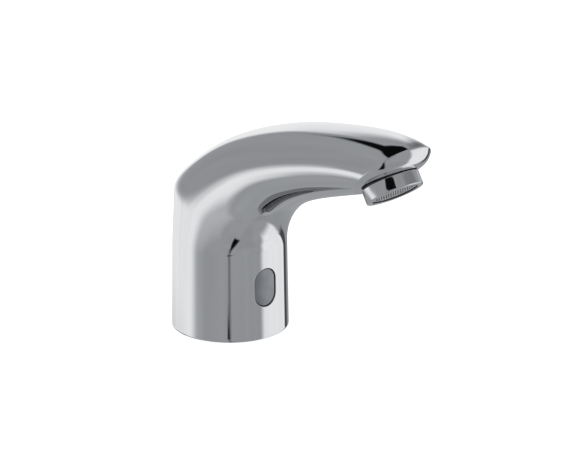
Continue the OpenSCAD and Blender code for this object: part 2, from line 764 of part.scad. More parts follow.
module coil_plug() {
    color("whitesmoke") difference() {
        translate([-plug_w / 2, lead_y - plug_d / 2, plug_z]) cube([plug_w, plug_d, plug_h]);
        at_blades() translate([-fit_gap, -fit_gap, plug_z + plug_h - blade_h])
            cube([blade_w + 2 * fit_gap, blade_t + 2 * fit_gap, blade_h + cut]);
    }
}
module coil_terminals() {
    color("silver") at_blades() translate([0, 0, terminal_z - blade_h])
        cube([blade_w, blade_t, blade_h - seat_gap]);
}

// Base
module base_plate() {
    color("darkgoldenrod") difference() {
        union() {
            translate([0, 0, plate_z]) cylinder(r = plate_r, h = plate_h - seat_gap, $fn = fine_fn);
            translate([side_hole_x, side_hole_y, plate_z])
                cylinder(r = stud_boss_r, h = plate_h + stud_boss_h, $fn = round_fn);
        }
        translate([side_hole_x, side_hole_y, plate_z - cut])
            cylinder(r = stud_hole_r, h = plate_h + stud_boss_h + 2 * cut, $fn = round_fn);
        translate([-side_hole_x, side_hole_y, plate_z - cut])
            cylinder(r = grommet_r + fit_gap, h = plate_h + 2 * cut, $fn = round_fn);
        translate([0, inlet_y, plate_z - cut])
            cylinder(r = inlet_boss_r + fit_gap, h = plate_h + 2 * cut, $fn = round_fn);
        at_lugs() base_screw_cut(fit_gap);
        for (x = [-1, 1]) translate([x * valve_screw_x, valve_screw_y, plate_z - cut]) {
            cylinder(r = valve_screw_r + fit_gap, h = plate_h + 2 * cut, $fn = small_fn);
            cylinder(r = valve_screw_head_r + fit_gap, h = valve_screw_head_h + cut, $fn = small_fn);
        }
        at_bracket_screws() translate([0, 0, -bracket_screw_h])
            cylinder(r = bracket_screw_r, h = bracket_screw_h + cut, $fn = small_fn);
    }
}
module base_gasket() {
    color("#2a2a2a") tube(plate_r, plate_r - base_gasket_w, gasket_h - seat_gap, fine_fn);
}
module base_screws() {
    color("silver") at_lugs() translate([0, 0, plate_z + seat_gap]) cap_screw(base_screw_r - seat_gap,
        base_screw_head_r, base_screw_head_h - seat_gap, base_screw_h - seat_gap);
}
module cable_grommet() {
    color("#202020") translate([-side_hole_x, side_hole_y, plate_z]) difference() {
        union() {
            cylinder(r = grommet_r, h = plate_h + grommet_flange_h, $fn = round_fn);
            translate([0, 0, plate_h]) cylinder(r = grommet_flange_r, h = grommet_flange_h, $fn = round_fn);
        }
        translate([0, 0, -cut])
            cylinder(r = cable_r, h = plate_h + grommet_flange_h + 2 * cut, $fn = round_fn);
    }
}

// Inlet: strainer and non-return valve in the block's inlet bore
module inlet_strainer() {
    count = floor((check_bore_r - strainer_rim) / strainer_pitch);
    color("silver") translate([0, inlet_y, thread_top]) {
        tube(check_bore_r - fit_gap, check_bore_r - strainer_rim, strainer_h - seat_gap);
        intersection() {
            cylinder(r = check_bore_r - strainer_rim / 2, h = strainer_h / 2, $fn = round_fn);
            for (a = [0, 90]) rotate([0, 0, a]) for (i = [-count : count])
                translate([-check_bore_r, i * strainer_pitch - strainer_wire / 2, 0])
                    cube([2 * check_bore_r, strainer_wire, strainer_h / 2]);
        }
    }
}
module check_cage() {
    color("whitesmoke") translate([0, inlet_y, check_z]) {
        tube(cage_r, cage_r - cage_wall, check_h - seat_gap);
        tube(cage_r - cage_wall / 2, check_seat_r, cage_wall);
        translate([0, 0, guide_z]) {
            tube(guide_r, poppet_stem_r + run_gap, guide_h);
            for (a = [0, 120, 240]) rotate([0, 0, a])
                translate([guide_r - guide_wall / 2, -guide_wall / 2, 0])
                    cube([cage_r - cage_wall / 2 - guide_r, guide_wall, guide_h]);
        }
    }
}
module check_poppet() {
    color("white") translate([0, inlet_y, poppet_z]) {
        cylinder(r = poppet_r, h = poppet_h, $fn = round_fn);
        cylinder(r = poppet_stem_r, h = poppet_stem_h, $fn = small_fn);
    }
}
module poppet_seal() {
    color("black") translate([0, inlet_y, check_z + cage_wall + seat_gap])
        cylinder(r = poppet_r, h = poppet_seal_h - seat_gap, $fn = round_fn);
}
module check_spring() {
    color("silver") translate([0, inlet_y, poppet_z + poppet_h + seat_gap])
        spring(check_spring_r, spring_wire, guide_z + check_z - poppet_z - poppet_h - 2 * seat_gap,
            check_turns);
}

// Valve block
module valve_body() {
    color("goldenrod") difference() {
        union() {
            translate([-block_w / 2, axis_y - block_front, block_z])
                cube([block_w, block_front + block_back, block_h]);
            translate([0, riser_y, cross_z - riser_r])
                cylinder(r = riser_r, h = riser_top - cross_z + riser_r, $fn = round_fn);
            translate([-riser_r, axis_y, cross_z - riser_r])
                cube([2 * riser_r, riser_y - axis_y, block_top - cross_z + riser_r]);
            translate([0, inlet_y, inlet_z])
                cylinder(r = inlet_boss_r, h = block_z - inlet_z, $fn = round_fn);
        }
        translate([0, inlet_y, inlet_z - cut]) {
            cylinder(r = inlet_r, h = inlet_thread_h + cut, $fn = round_fn);
            cylinder(r = check_bore_r, h = check_z + check_h - inlet_z + cut, $fn = round_fn);
            cylinder(r = feed_r, h = chamber_z - inlet_z + 2 * cut, $fn = small_fn);
        }
        translate([0, axis_y, chamber_z]) difference() {
            cylinder(r = chamber_r, h = chamber_h + cut, $fn = fine_fn);
            translate([0, 0, -cut]) cylinder(r = seat_r + seat_wall, h = seat_h + cut, $fn = round_fn);
        }
        translate([0, axis_y, cross_z]) cylinder(r = seat_r, h = block_h, $fn = round_fn);
        translate([0, riser_y, cross_z]) rotate([90, 0, 0])
            cylinder(r = seat_r, h = riser_y - axis_y, $fn = round_fn);
        translate([0, riser_y, cross_z]) {
            cylinder(r = riser_bore_r, h = riser_top - cross_z + cut, $fn = round_fn);
            translate([0, 0, riser_top - riser_socket_h - cross_z])
                cylinder(r = tube_r + run_gap, h = riser_socket_h + cut, $fn = round_fn);
            translate([0, 0, riser_top - o_ring_h - cross_z])
                cylinder(r = tube_r + 2 * o_ring_wire, h = o_ring_h + cut, $fn = round_fn);
        }
        at_bonnet_screws(block_top - bonnet_screw_h + bonnet_flange_h)
            cylinder(r = bonnet_screw_r, h = bonnet_screw_h, $fn = small_fn);
        for (x = [-1, 1]) translate([x * valve_screw_x, valve_screw_y, block_z - cut])
            cylinder(r = valve_screw_r, h = valve_screw_h - plate_h + 2 * cut, $fn = small_fn);
    }
}
module valve_screws() {
    color("silver") for (x = [-1, 1]) translate([x * valve_screw_x, valve_screw_y, plate_z + seat_gap])
        cap_screw(valve_screw_r - seat_gap, valve_screw_head_r, valve_screw_head_h - seat_gap, valve_screw_h);
}
module at_bonnet_screws(z) {
    for (x = [-1, 1]) for (y = [-bonnet_screw_front, bonnet_screw_back])
        translate([x * bonnet_screw_x, axis_y + y, z]) children();
}

// Main piston with its seal and spring, and the bonnet over it
module main_piston() {
    color("white") translate([0, axis_y, piston_skirt_z]) difference() {
        union() {
            translate([0, 0, -piston_foot_h]) cylinder(r = piston_seal_r, h = piston_foot_h, $fn = round_fn);
            cylinder(r = piston_r, h = piston_skirt_h, $fn = fine_fn);
        }
        translate([0, 0, piston_wall]) difference() {
            cylinder(r = piston_r - piston_wall, h = piston_skirt_h, $fn = round_fn);
            translate([0, 0, -cut])
                cylinder(r = pilot_r + pilot_wall, h = pilot_h - piston_wall + cut, $fn = round_fn);
        }
        translate([0, 0, -piston_foot_h - cut])
            cylinder(r = pilot_r, h = pilot_h + piston_foot_h + 2 * cut, $fn = small_fn);
        translate([piston_r - piston_wall - 2 * bleed_r, 0, -cut])
            cylinder(r = bleed_r, h = piston_wall + 2 * cut, $fn = small_fn);
    }
}
module piston_seal() {
    color("black") translate([0, axis_y, piston_z])
        tube(piston_seal_r, pilot_r + fit_gap, piston_seal_h - seat_gap);
}
module piston_spring() {
    color("silver") translate([0, axis_y, piston_skirt_z + piston_wall + seat_gap])
        spring(piston_spring_r, spring_wire, core_flange_z - piston_skirt_z - piston_wall - 2 * seat_gap,
            piston_turns);
}
module bonnet() {
    color("darkgoldenrod") difference() {
        union() {
            translate([-block_w / 2, axis_y - block_front, bonnet_z])
                cube([block_w, block_front + block_back, bonnet_flange_h]);
            translate([0, axis_y, bonnet_z])
                cylinder(r = bonnet_r, h = bonnet_bore_h + bonnet_cap_h, $fn = fine_fn);
        }
        translate([0, axis_y, bonnet_z - cut]) {
            cylinder(r = bonnet_bore_r, h = bonnet_bore_h + cut, $fn = fine_fn);
            cylinder(r = core_r + fit_gap, h = bonnet_bore_h + bonnet_cap_h + 2 * cut, $fn = round_fn);
        }
        at_bonnet_screws(bonnet_z - cut)
            cylinder(r = bonnet_screw_r + fit_gap, h = bonnet_flange_h + 2 * cut, $fn = small_fn);
        riser_way(bonnet_z - cut, bonnet_bore_h + bonnet_cap_h + 2 * cut);
    }
}
module riser_way(z, h) {
    translate([0, riser_y, z]) cylinder(r = riser_r + fit_gap, h = h, $fn = round_fn);
}
module bonnet_gasket() {
    color("#2a2a2a") difference() {
        translate([-block_w / 2, axis_y - block_front, block_top + seat_gap])
            cube([block_w, block_front + block_back, bonnet_gasket_h - 2 * seat_gap]);
        translate([0, axis_y, block_top - cut])
            cylinder(r = chamber_r, h = bonnet_gasket_h + 2 * cut, $fn = fine_fn);
        at_bonnet_screws(block_top - cut)
            cylinder(r = bonnet_screw_r + fit_gap, h = bonnet_gasket_h + 2 * cut, $fn = small_fn);
        riser_way(block_top - cut, bonnet_gasket_h + 2 * cut);
    }
}
module bonnet_screws() {
    color("silver") at_bonnet_screws(bonnet_z + bonnet_flange_h + bonnet_screw_head_h) rotate([180, 0, 0])
        cap_screw(bonnet_screw_r - seat_gap, bonnet_screw_head_r, bonnet_screw_head_h - seat_gap,
            bonnet_screw_h);
}

// Solenoid: core tube, pole piece and plunger inside, coil and yoke outside
module core_tube() {
    color("silver") translate([0, axis_y, core_flange_z]) difference() {
        union() {
            cylinder(r = core_flange_r, h = core_flange_h - seat_gap, $fn = round_fn);
            cylinder(r = core_r, h = core_top - core_flange_z, $fn = round_fn);
        }
        translate([0, 0, -cut])
            cylinder(r = core_r - core_wall, h = core_top - core_flange_z + 2 * cut, $fn = round_fn);
    }
}
module pole_piece() {
    color("gray") translate([0, axis_y, pole_z])
        cylinder(r = core_r - core_wall - seat_gap, h = core_top - pole_z - seat_gap, $fn = round_fn);
}
module plunger() {
    color("lightgray") translate([0, axis_y, plunger_z]) difference() {
        cylinder(r = plunger_r, h = plunger_h, $fn = round_fn);
        translate([0, 0, -cut])
            cylinder(r = plunger_tip_r + seat_gap, h = plunger_tip_h + cut + seat_gap, $fn = round_fn);
        translate([0, 0, plunger_h - plunger_pocket_h])
            cylinder(r = plunger_spring_r + 2 * spring_wire, h = plunger_pocket_h + cut, $fn = round_fn);
    }
}
module plunger_tip() {
    color("black") translate([0, axis_y, plunger_z])
        cylinder(r = plunger_tip_r, h = plunger_tip_h, $fn = round_fn);
}
module plunger_spring() {
    color("silver") translate([0, axis_y, plunger_top - plunger_pocket_h + seat_gap])
        spring(plunger_spring_r, spring_wire, pole_z - plunger_top + plunger_pocket_h - 2 * seat_gap,
            plunger_turns);
}
module coil_bobbin() {
    color("#303030") {
        translate([0, axis_y, bobbin_z + seat_gap]) {
            tube(core_r + fit_gap + bobbin_wall, core_r + fit_gap, bobbin_h - 2 * seat_gap);
            for (z = [0, bobbin_h - flange_t - seat_gap]) translate([0, 0, z])
                tube(winding_r + flange_t - fit_gap, core_r + fit_gap, flange_t - seat_gap);
        }
        difference() {
            translate([-plug_w / 2, lead_y - plug_d / 2, terminal_z])
                cube([plug_w, axis_y - core_r - bobbin_wall - lead_y + plug_d / 2, terminal_h - seat_gap]);
            translate([0, axis_y, terminal_z - cut]) cylinder(r = winding_r + fit_gap,
                h = bobbin_z + bobbin_h - flange_t - terminal_z + cut, $fn = fine_fn);
        }
    }
}
module coil_winding() {
    color("#b06a2a") translate([0, axis_y, bobbin_z + flange_t + seat_gap])
        tube(winding_r, core_r + 2 * fit_gap + bobbin_wall, winding_h - 2 * seat_gap, fine_fn);
}
module coil_yoke() {
    color("dimgray") difference() {
        translate([-yoke_x - yoke_t, axis_y - yoke_d / 2, bonnet_top])
            cube([2 * (yoke_x + yoke_t), yoke_d, yoke_top - bonnet_top - seat_gap]);
        translate([-yoke_x, axis_y - yoke_d / 2 - cut, bobbin_z])
            cube([2 * yoke_x, yoke_d + 2 * cut, bobbin_h]);
        translate([0, axis_y, bonnet_top - cut])
            cylinder(r = core_r + fit_gap, h = yoke_top - bonnet_top + 2 * cut, $fn = round_fn);
    }
}
module coil_nut() {
    color("silver") translate([0, axis_y, yoke_top]) difference() {
        cylinder(r = nut_r, h = nut_h - seat_gap, $fn = 6);
        translate([0, 0, -cut]) cylinder(r = core_r + seat_gap, h = nut_h + 2 * cut, $fn = round_fn);
    }
}

body_shell();
aerator_sleeve();
aerator_insert();
jet_plate();
aerator_screen();
aerator_gasket();
spout_tube();
tube_o_rings();
sensor_lens();
lens_gasket();
sensor_housing();
ir_emitter();
ir_receiver();
sensor_board();
board_components();
sensor_cover();
sensor_cover_screws();
sensor_bracket();
bracket_screws();
sensor_lead();
coil_plug();
coil_terminals();
base_plate();
base_gasket();
base_screws();
cable_grommet();
inlet_strainer();
check_cage();
check_poppet();
poppet_seal();
check_spring();
valve_body();
valve_screws();
main_piston();
piston_seal();
piston_spring();
bonnet();
bonnet_gasket();
bonnet_screws();
core_tube();
pole_piece();
plunger();
plunger_tip();
plunger_spring();
coil_bobbin();
coil_winding();
coil_yoke();
coil_nut();
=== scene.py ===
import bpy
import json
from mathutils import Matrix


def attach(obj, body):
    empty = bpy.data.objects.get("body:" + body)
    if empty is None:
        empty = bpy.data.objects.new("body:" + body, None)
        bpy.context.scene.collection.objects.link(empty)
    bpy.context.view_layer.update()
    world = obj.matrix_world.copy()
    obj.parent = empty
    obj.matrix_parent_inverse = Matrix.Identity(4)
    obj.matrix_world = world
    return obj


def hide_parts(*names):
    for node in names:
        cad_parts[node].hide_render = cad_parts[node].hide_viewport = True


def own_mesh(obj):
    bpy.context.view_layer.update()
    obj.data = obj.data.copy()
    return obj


bl_info = {
    "name": "Sensor tap",
    "version": (1, 0, 0),
    "blender": (4, 5, 0),
    "location": "3D View > Sidebar > Sensor tap",
    "description": "Dresses a deck-mounted sensor tap around its solid parts",
    "category": "Object",
}

import json
import math

import bpy
import numpy as np
from mathutils import Matrix, Vector

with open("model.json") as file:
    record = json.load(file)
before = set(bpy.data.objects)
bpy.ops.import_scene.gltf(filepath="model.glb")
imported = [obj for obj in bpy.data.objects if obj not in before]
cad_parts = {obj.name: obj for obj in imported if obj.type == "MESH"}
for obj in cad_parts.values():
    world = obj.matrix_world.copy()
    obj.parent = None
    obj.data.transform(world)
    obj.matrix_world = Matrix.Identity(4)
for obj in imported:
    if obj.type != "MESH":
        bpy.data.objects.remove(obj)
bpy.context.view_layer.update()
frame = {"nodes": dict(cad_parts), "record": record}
NODES = frame["nodes"]

MM = 0.001
BODY = "tap"
TURN = 2 * math.pi

# Rings in a rounded edge, and the largest share of a side that the rounding of its corner takes
EDGE_RINGS = 5
LARGEST_ROUND = 0.45
TINY = 1e-9
ALMOST_ONE = 1 - 1e-12

# The casting's lines in the side view, as shares of the way from the column to the nose, and its half
# widths, as shares of the column's radius
OUTER_SHARES = [(0.01, 0.311), (-0.016, 0.362), (0.097, 0.553), (0.239, 0.737), (0.459, 0.897),
                (0.645, 0.978), (0.912, 1.055), (1, 1)]
INNER_SHARES = [(0.067, 0.274), (0.158, 0.429), (0.256, 0.557), (0.402, 0.683), (0.558, 0.778),
                (0.684, 0.846), (0.869, 0.935), (1, 1)]
WIDTH_SHARES = [0.997, 0.983, 0.925, 0.861, 0.804, 0.753, 0.7, 0.664]
# How far the column's lean carries on above it, as a share of the rise, how far the heel lies from the
# outlet, in radii of the collar, and how flat the end face is
LEAD_SHARE = 0.064
HEEL_SHARE = 1.214
FACE_POWER = 5


# ---------------------------------------------------------------- settings

def length_of(name, words, value):
    return bpy.props.FloatProperty(name=name, description=words, default=value,
                                   subtype="DISTANCE", unit="LENGTH")


def angle_of(name, words, degrees):
    return bpy.props.FloatProperty(name=name, description=words, default=math.radians(degrees),
                                   subtype="ANGLE", unit="ROTATION")


def colour_of(name, words, value):
    return bpy.props.FloatVectorProperty(name=name, description=words, default=value, size=3,
                                         subtype="COLOR", min=0, max=1)


class TapSizes(bpy.types.PropertyGroup):
    """Sizes of the visible forms"""
    base_diameter: length_of("Base diameter", "Diameter of the column at the deck", 0.055)
    draft: angle_of("Draft", "Lean of the column's side", 1)
    wall: length_of("Wall", "Thickness of the casting", 0.003)
    column_height: length_of("Column height", "Height at which the column turns into the spout", 0.042)
    nose_reach: length_of("Nose reach", "Distance of the nose's tip from the column's axis", 0.128)
    nose_height: length_of("Nose height", "Height of the nose's tip", 0.116)
    outlet_reach: length_of("Outlet reach", "Distance of the outlet from the column's axis", 0.112)
    outlet_height: length_of("Outlet height", "Height of the outlet's centre", 0.0975)
    outlet_lean: angle_of("Outlet lean", "Lean of the outlet towards the user", 34)
    collar_diameter: length_of("Collar diameter", "Diameter of the screwed collar", 0.026)
    collar_length: length_of("Collar length", "Length of the collar under the nose", 0.0065)
    window_width: length_of("Window width", "Width of the sensor window", 0.012)
    window_length: length_of("Window height", "Height of the sensor window", 0.018)
    window_centre: length_of("Window centre", "Height of the window's centre above the deck", 0.025)


class TapFinishes(bpy.types.PropertyGroup):
    """Colours of the materials"""
    chrome: colour_of("Chrome", "Tint of the plated casting", (0.795, 0.8, 0.808))
    lens: colour_of("Lens", "Colour of the sensor window", (0.27, 0.279, 0.295))
    grille: colour_of("Grille", "Colour of the aerator's grille", (0.42, 0.43, 0.44))
    steel: colour_of("Steel", "Colour of screws, springs and core", (0.62, 0.62, 0.61))
    brass: colour_of("Brass", "Colour of the valve block", (0.78, 0.58, 0.29))
    copper: colour_of("Copper", "Colour of the tube and the winding", (0.76, 0.37, 0.2))
    rubber: colour_of("Rubber", "Colour of seals and gaskets", (0.022, 0.022, 0.024))
    dark_plastic: colour_of("Dark plastic", "Colour of the sensor's housing", (0.025, 0.026, 0.03))
    pale_plastic: colour_of("Pale plastic", "Colour of the inner mouldings", (0.8, 0.79, 0.76))
    board: colour_of("Board", "Colour of the circuit board", (0.015, 0.13, 0.05))


class StudioLook(bpy.types.PropertyGroup):
    """Floor and light"""
    floor: colour_of("Floor", "Colour of the floor", (0.9, 0.9, 0.9))
    floor_glow: bpy.props.FloatProperty(
        name="Floor glow", description="Light that the floor gives off", default=0.72, min=0)
    light_power: bpy.props.FloatProperty(
        name="Soft light", description="Power of the soft light overhead", default=6,
        subtype="POWER", unit="POWER")


# ---------------------------------------------------------------- mesh help

def make_mesh(name, points, faces, material, sharp=32):
    mesh = bpy.data.meshes.new(name)
    mesh.from_pydata([tuple(p) for p in points], [], faces)
    mesh.validate()
    mesh.update()
    mesh.shade_smooth()
    mesh.set_sharp_from_angle(angle=math.radians(sharp))
    obj = bpy.data.objects.new(name, mesh)
    bpy.context.scene.collection.objects.link(obj)
    mesh.materials.append(material)
    return obj


def strip_faces(ring_count, size, skip=None):
    """Quads between neighbouring rings of size points; skip leaves out some of them"""
    faces = []
    for k in range(ring_count - 1):
        for i in range(size):
            if skip and skip(k, i):
                continue
            j = (i + 1) % size
            a, b = k * size, (k + 1) * size
            faces.append((a + i, a + j, b + j, b + i))
    return faces


def circle(radius, angles, height):
    """Points of a circle about +Z, one for each angle"""
    return np.stack([radius * np.cos(angles), radius * np.sin(angles),
                     np.full(len(angles), height)], 1)


def lathe(profile, steps):
    """Points and quads of a closed profile of (radius, height) turned about +Z"""
    angles = np.arange(steps) * TURN / steps
    points = np.concatenate([circle(r, angles, z) for r, z in profile])
    faces = strip_faces(len(profile) + 1, steps)
    return points, [tuple(i % len(points) for i in face) for face in faces]


def bend(start, corner, end, steps):
    """Points on the way from start to end, drawn towards the corner between them"""
    return [(1 - t) ** 2 * start + 2 * t * (1 - t) * corner + t * t * end
            for t in np.arange(steps + 1) / steps]


def rounded(corners, steps):
    """A closed profile with each corner, given as (r, z, radius), rounded off"""
    done = []
    for k, corner in enumerate(corners):
        here = np.array(corner[:2], float)
        ends = []
        for other in (corners[k - 1], corners[(k + 1) % len(corners)]):
            way = np.array(other[:2], float) - here
            length = np.linalg.norm(way)
            ends.append(here + way / length * min(corner[2], length * LARGEST_ROUND))
        done += [tuple(point) for point in bend(ends[0], here, ends[1], steps)]
    return done


def bridge(first, second):
    """Quads between two closed loops of point numbers"""
    count = len(first)
    return [(first[i], first[(i + 1) % count], second[(i + 1) % count], second[i])
            for i in range(count)]


def moved(points, matrix):
    m = np.array(matrix)
    return np.asarray(points) @ m[:3, :3].T + m[:3, 3]


# ---------------------------------------------------------------- materials

def node_of(tree, kind, inputs=None, **settings):
    """A new node with its settings, and a number or a link for each of the inputs that are given"""
    node = tree.nodes.new(kind)
    for key, value in settings.items():
        setattr(node, key, value)
    for key, value in (inputs or {}).items():
        if isinstance(value, bpy.types.NodeSocket):
            tree.links.new(value, node.inputs[key])
        else:
            node.inputs[key].default_value = value
    return node


def colour_mix(tree, share, first, second):
    """The colour that comes out of a node that mixes two colours"""
    mix = node_of(tree, "ShaderNodeMix", {"Factor": share}, data_type="RGBA")
    sockets = [socket for socket in mix.inputs if socket.type == "RGBA"]
    for socket, colour in zip(sockets, (first, second)):
        socket.default_value = (*colour, 1)
    return [socket for socket in mix.outputs if socket.type == "RGBA"][0]


class Finish:
    """A material with one principled shader, and helpers for its surface detail"""

    smoothest = 0.01

    def __init__(self, name, colour, roughness, metallic=0.0, coat=0.0, specular=0.5):
        self.material = bpy.data.materials.new(name)
        self.material.use_nodes = True
        self.tree = self.material.node_tree
        self.shader = self.tree.nodes["Principled BSDF"]
        for key, value in (("Base Color", (*colour, 1)), ("Roughness", roughness), ("Metallic", metallic),
                           ("Coat Weight", coat), ("Specular IOR Level", specular)):
            self.shader.inputs[key].default_value = value
        self.place = node_of(self.tree, "ShaderNodeTexCoord").outputs["Object"]
        self.colour = tuple(colour)
        self.roughness = roughness
        self.height = None

    def link(self, out, socket):
        self.tree.links.new(out, socket)

    def stretched(self, scale):
        """Object coordinates scaled by a vector, for brushed or drawn grain"""
        inputs = {"Scale": scale, "Vector": self.place}
        return node_of(self.tree, "ShaderNodeMapping", inputs).outputs["Vector"]

    def noise(self, scale, detail, where=None):
        inputs = {"Scale": scale, "Detail": detail, "Vector": where or self.place}
        return node_of(self.tree, "ShaderNodeTexNoise", inputs).outputs["Fac"]

    def cells(self, scale):
        inputs = {"Scale": scale, "Vector": self.place}
        return node_of(self.tree, "ShaderNodeTexVoronoi", inputs).outputs["Distance"]

    def waves(self, scale, axis, distortion, profile="SIN"):
        inputs = {"Scale": scale, "Distortion": distortion, "Vector": self.place}
        return node_of(self.tree, "ShaderNodeTexWave", inputs, bands_direction=axis,
                       wave_profile=profile).outputs["Fac"]

    def spread(self, value, low, high, start, end):
        """A value between start and end taken to the range from low to high"""
        inputs = {"Value": value, "From Min": start, "From Max": end, "To Min": low, "To Max": high}
        return node_of(self.tree, "ShaderNodeMapRange", inputs).outputs["Result"]

    def vary_roughness(self, value, amount, start=0.3, end=0.7):
        low, high = self.roughness - amount, self.roughness + amount
        self.link(self.spread(value, max(low, self.smoothest), high, start, end),
                  self.shader.inputs["Roughness"])

    def vary_colour(self, value, other, start=0.3, end=0.7):
        share = self.spread(value, 0, 1, start, end)
        self.link(colour_mix(self.tree, share, self.colour, other), self.shader.inputs["Base Color"])

    def bump(self, value, depth, strength):
        """Relief on top of the relief that the surface has already"""
        inputs = {"Distance": depth, "Strength": strength, "Height": value}
        if self.height:
            inputs["Normal"] = self.height
        self.height = node_of(self.tree, "ShaderNodeBump", inputs).outputs["Normal"]
        self.link(self.height, self.shader.inputs["Normal"])


def scaled(colour, share):
    return tuple(min(1, c * share) for c in colour)


def chrome_finish(tint):
    chrome = Finish("polished_chrome", tint, roughness=0.045, metallic=1.0)
    chrome.vary_roughness(chrome.noise(scale=55, detail=5), amount=0.012)
    chrome.vary_colour(chrome.noise(scale=18, detail=3), scaled(tint, 0.975))
    chrome.bump(chrome.noise(scale=38, detail=2), depth=0.00001, strength=0.35)
    chrome.bump(chrome.noise(scale=2600, detail=2), depth=0.0000015, strength=0.25)
    return chrome.material


def collar_finish(tint):
    collar = Finish("turned_chrome", scaled(tint, 0.97), roughness=0.07, metallic=1.0)
    collar.vary_roughness(collar.noise(scale=160, detail=5), amount=0.02)
    collar.vary_colour(collar.noise(scale=70, detail=3), scaled(tint, 0.93))
    collar.bump(collar.noise(scale=900, detail=2), depth=0.000002, strength=0.3)
    return collar.material


def lens_finish(colour):
    lens = Finish("smoked_lens", colour, roughness=0.34, metallic=0.9, coat=0.2)
    lens.shader.inputs["Coat Roughness"].default_value = 0.16
    lens.vary_roughness(lens.noise(scale=420, detail=4), amount=0.05)
    lens.vary_colour(lens.noise(scale=160, detail=2), scaled(colour, 1.18), start=0.35)
    lens.bump(lens.noise(scale=3200, detail=2), depth=0.000004, strength=0.4)
    return lens.material


def plastic_finish(name, colour, grain=2400, roughness=0.45):
    plastic = Finish(name, colour, roughness)
    plastic.vary_roughness(plastic.noise(scale=300, detail=4), amount=0.07)
    plastic.vary_colour(plastic.noise(scale=90, detail=3), scaled(colour, 0.86))
    plastic.bump(plastic.cells(scale=grain), depth=0.00001, strength=0.4)
    return plastic.material


def rubber_finish(name, colour):
    rubber = Finish(name, colour, roughness=0.62, specular=0.35)
    rubber.vary_roughness(rubber.noise(scale=380, detail=5), amount=0.08)
    rubber.vary_colour(rubber.noise(scale=140, detail=4), scaled(colour, 1.7))
    rubber.bump(rubber.noise(scale=2600, detail=4), depth=0.00002, strength=0.5)
    return rubber.material


def metal_finish(name, colour, roughness, grain):
    """Metal whose tool marks are noise stretched by the grain"""
    metal = Finish(name, colour, roughness, metallic=1.0)
    lines = metal.noise(scale=260, detail=5, where=metal.stretched(grain))
    metal.vary_roughness(lines, amount=roughness * 0.3)
    metal.vary_colour(metal.noise(scale=60, detail=4), scaled(colour, 0.84))
    metal.bump(lines, depth=0.000006, strength=0.6)
    return metal.material


def winding_finish(name, colour):
    wire = Finish(name, colour, roughness=0.28, metallic=1.0)
    wire.vary_colour(wire.noise(scale=220, detail=3), scaled(colour, 0.72))
    wire.vary_roughness(wire.noise(scale=500, detail=3), amount=0.06)
    wire.bump(wire.waves(scale=700, axis="Z", distortion=0.4), depth=0.0001, strength=0.9)
    return wire.material


def board_finish(name, colour):
    board = Finish(name, colour, roughness=0.32, coat=0.4)
    tracks = board.waves(scale=260, axis="DIAGONAL", distortion=2.5, profile="SAW")
    board.vary_colour(tracks, (0.05, 0.3, 0.1), start=0.7, end=0.76)
    board.vary_roughness(board.noise(scale=400, detail=3), amount=0.06)
    board.bump(tracks, depth=0.00003, strength=0.5)
    return board.material


FINISHES = {}


def make_finishes(look):
    FINISHES.update({
        "chrome": chrome_finish(look.chrome),
        "collar": collar_finish(look.chrome),
        # Dark, rough metal for the collar's thread and bore: painted shade for the gap between the collar
        # and the end face, and for the recess of the bore
        "thread_painted_shade": metal_finish("thread_painted_shade", scaled(look.chrome, 0.12), 0.5, grain=(1, 1, 30)),
        "smoked_lens": lens_finish(look.lens),
        "grey_plastic": plastic_finish("grille_plastic", look.grille, grain=1800, roughness=0.3),
        "white_plastic": plastic_finish("pale_moulding", look.pale_plastic),
        "black_plastic": plastic_finish("dark_moulding", look.dark_plastic),
        "rubber": rubber_finish("black_rubber", look.rubber),
        "steel": metal_finish("machined_steel", look.steel, 0.26, grain=(18, 18, 1)),
        "brass": metal_finish("machined_brass", look.brass, 0.3, grain=(3, 3, 26)),
        "copper": metal_finish("drawn_copper", look.copper, 0.24, grain=(22, 2, 2)),
        "winding": winding_finish("wound_copper", look.copper),
        "led": plastic_finish("diode_resin", (0.05, 0.03, 0.08), grain=900, roughness=0.12),
        "board": board_finish("green_board", look.board),
    })


# ---------------------------------------------------------------- casting form

def spline_weights(share, count, degree=3):
    """How much each control point of a clamped uniform B-spline weighs at a share of its way"""
    spans = count - degree
    knots = [min(max(i - degree, 0), spans) / spans for i in range(count + degree + 1)]
    u = min(share, ALMOST_ONE)
    weights = [float(low <= u < high) for low, high in zip(knots, knots[1:])]
    for order in range(1, degree + 1):
        following = []
        for i in range(len(weights) - 1):
            left = knots[i + order] - knots[i]
            right = knots[i + order + 1] - knots[i + 1]
            weight = 0.0
            if left > 0:
                weight += (u - knots[i]) / left * weights[i]
            if right > 0:
                weight += (knots[i + order + 1] - u) / right * weights[i + 1]
            following.append(weight)
        weights = following
    return np.array(weights)


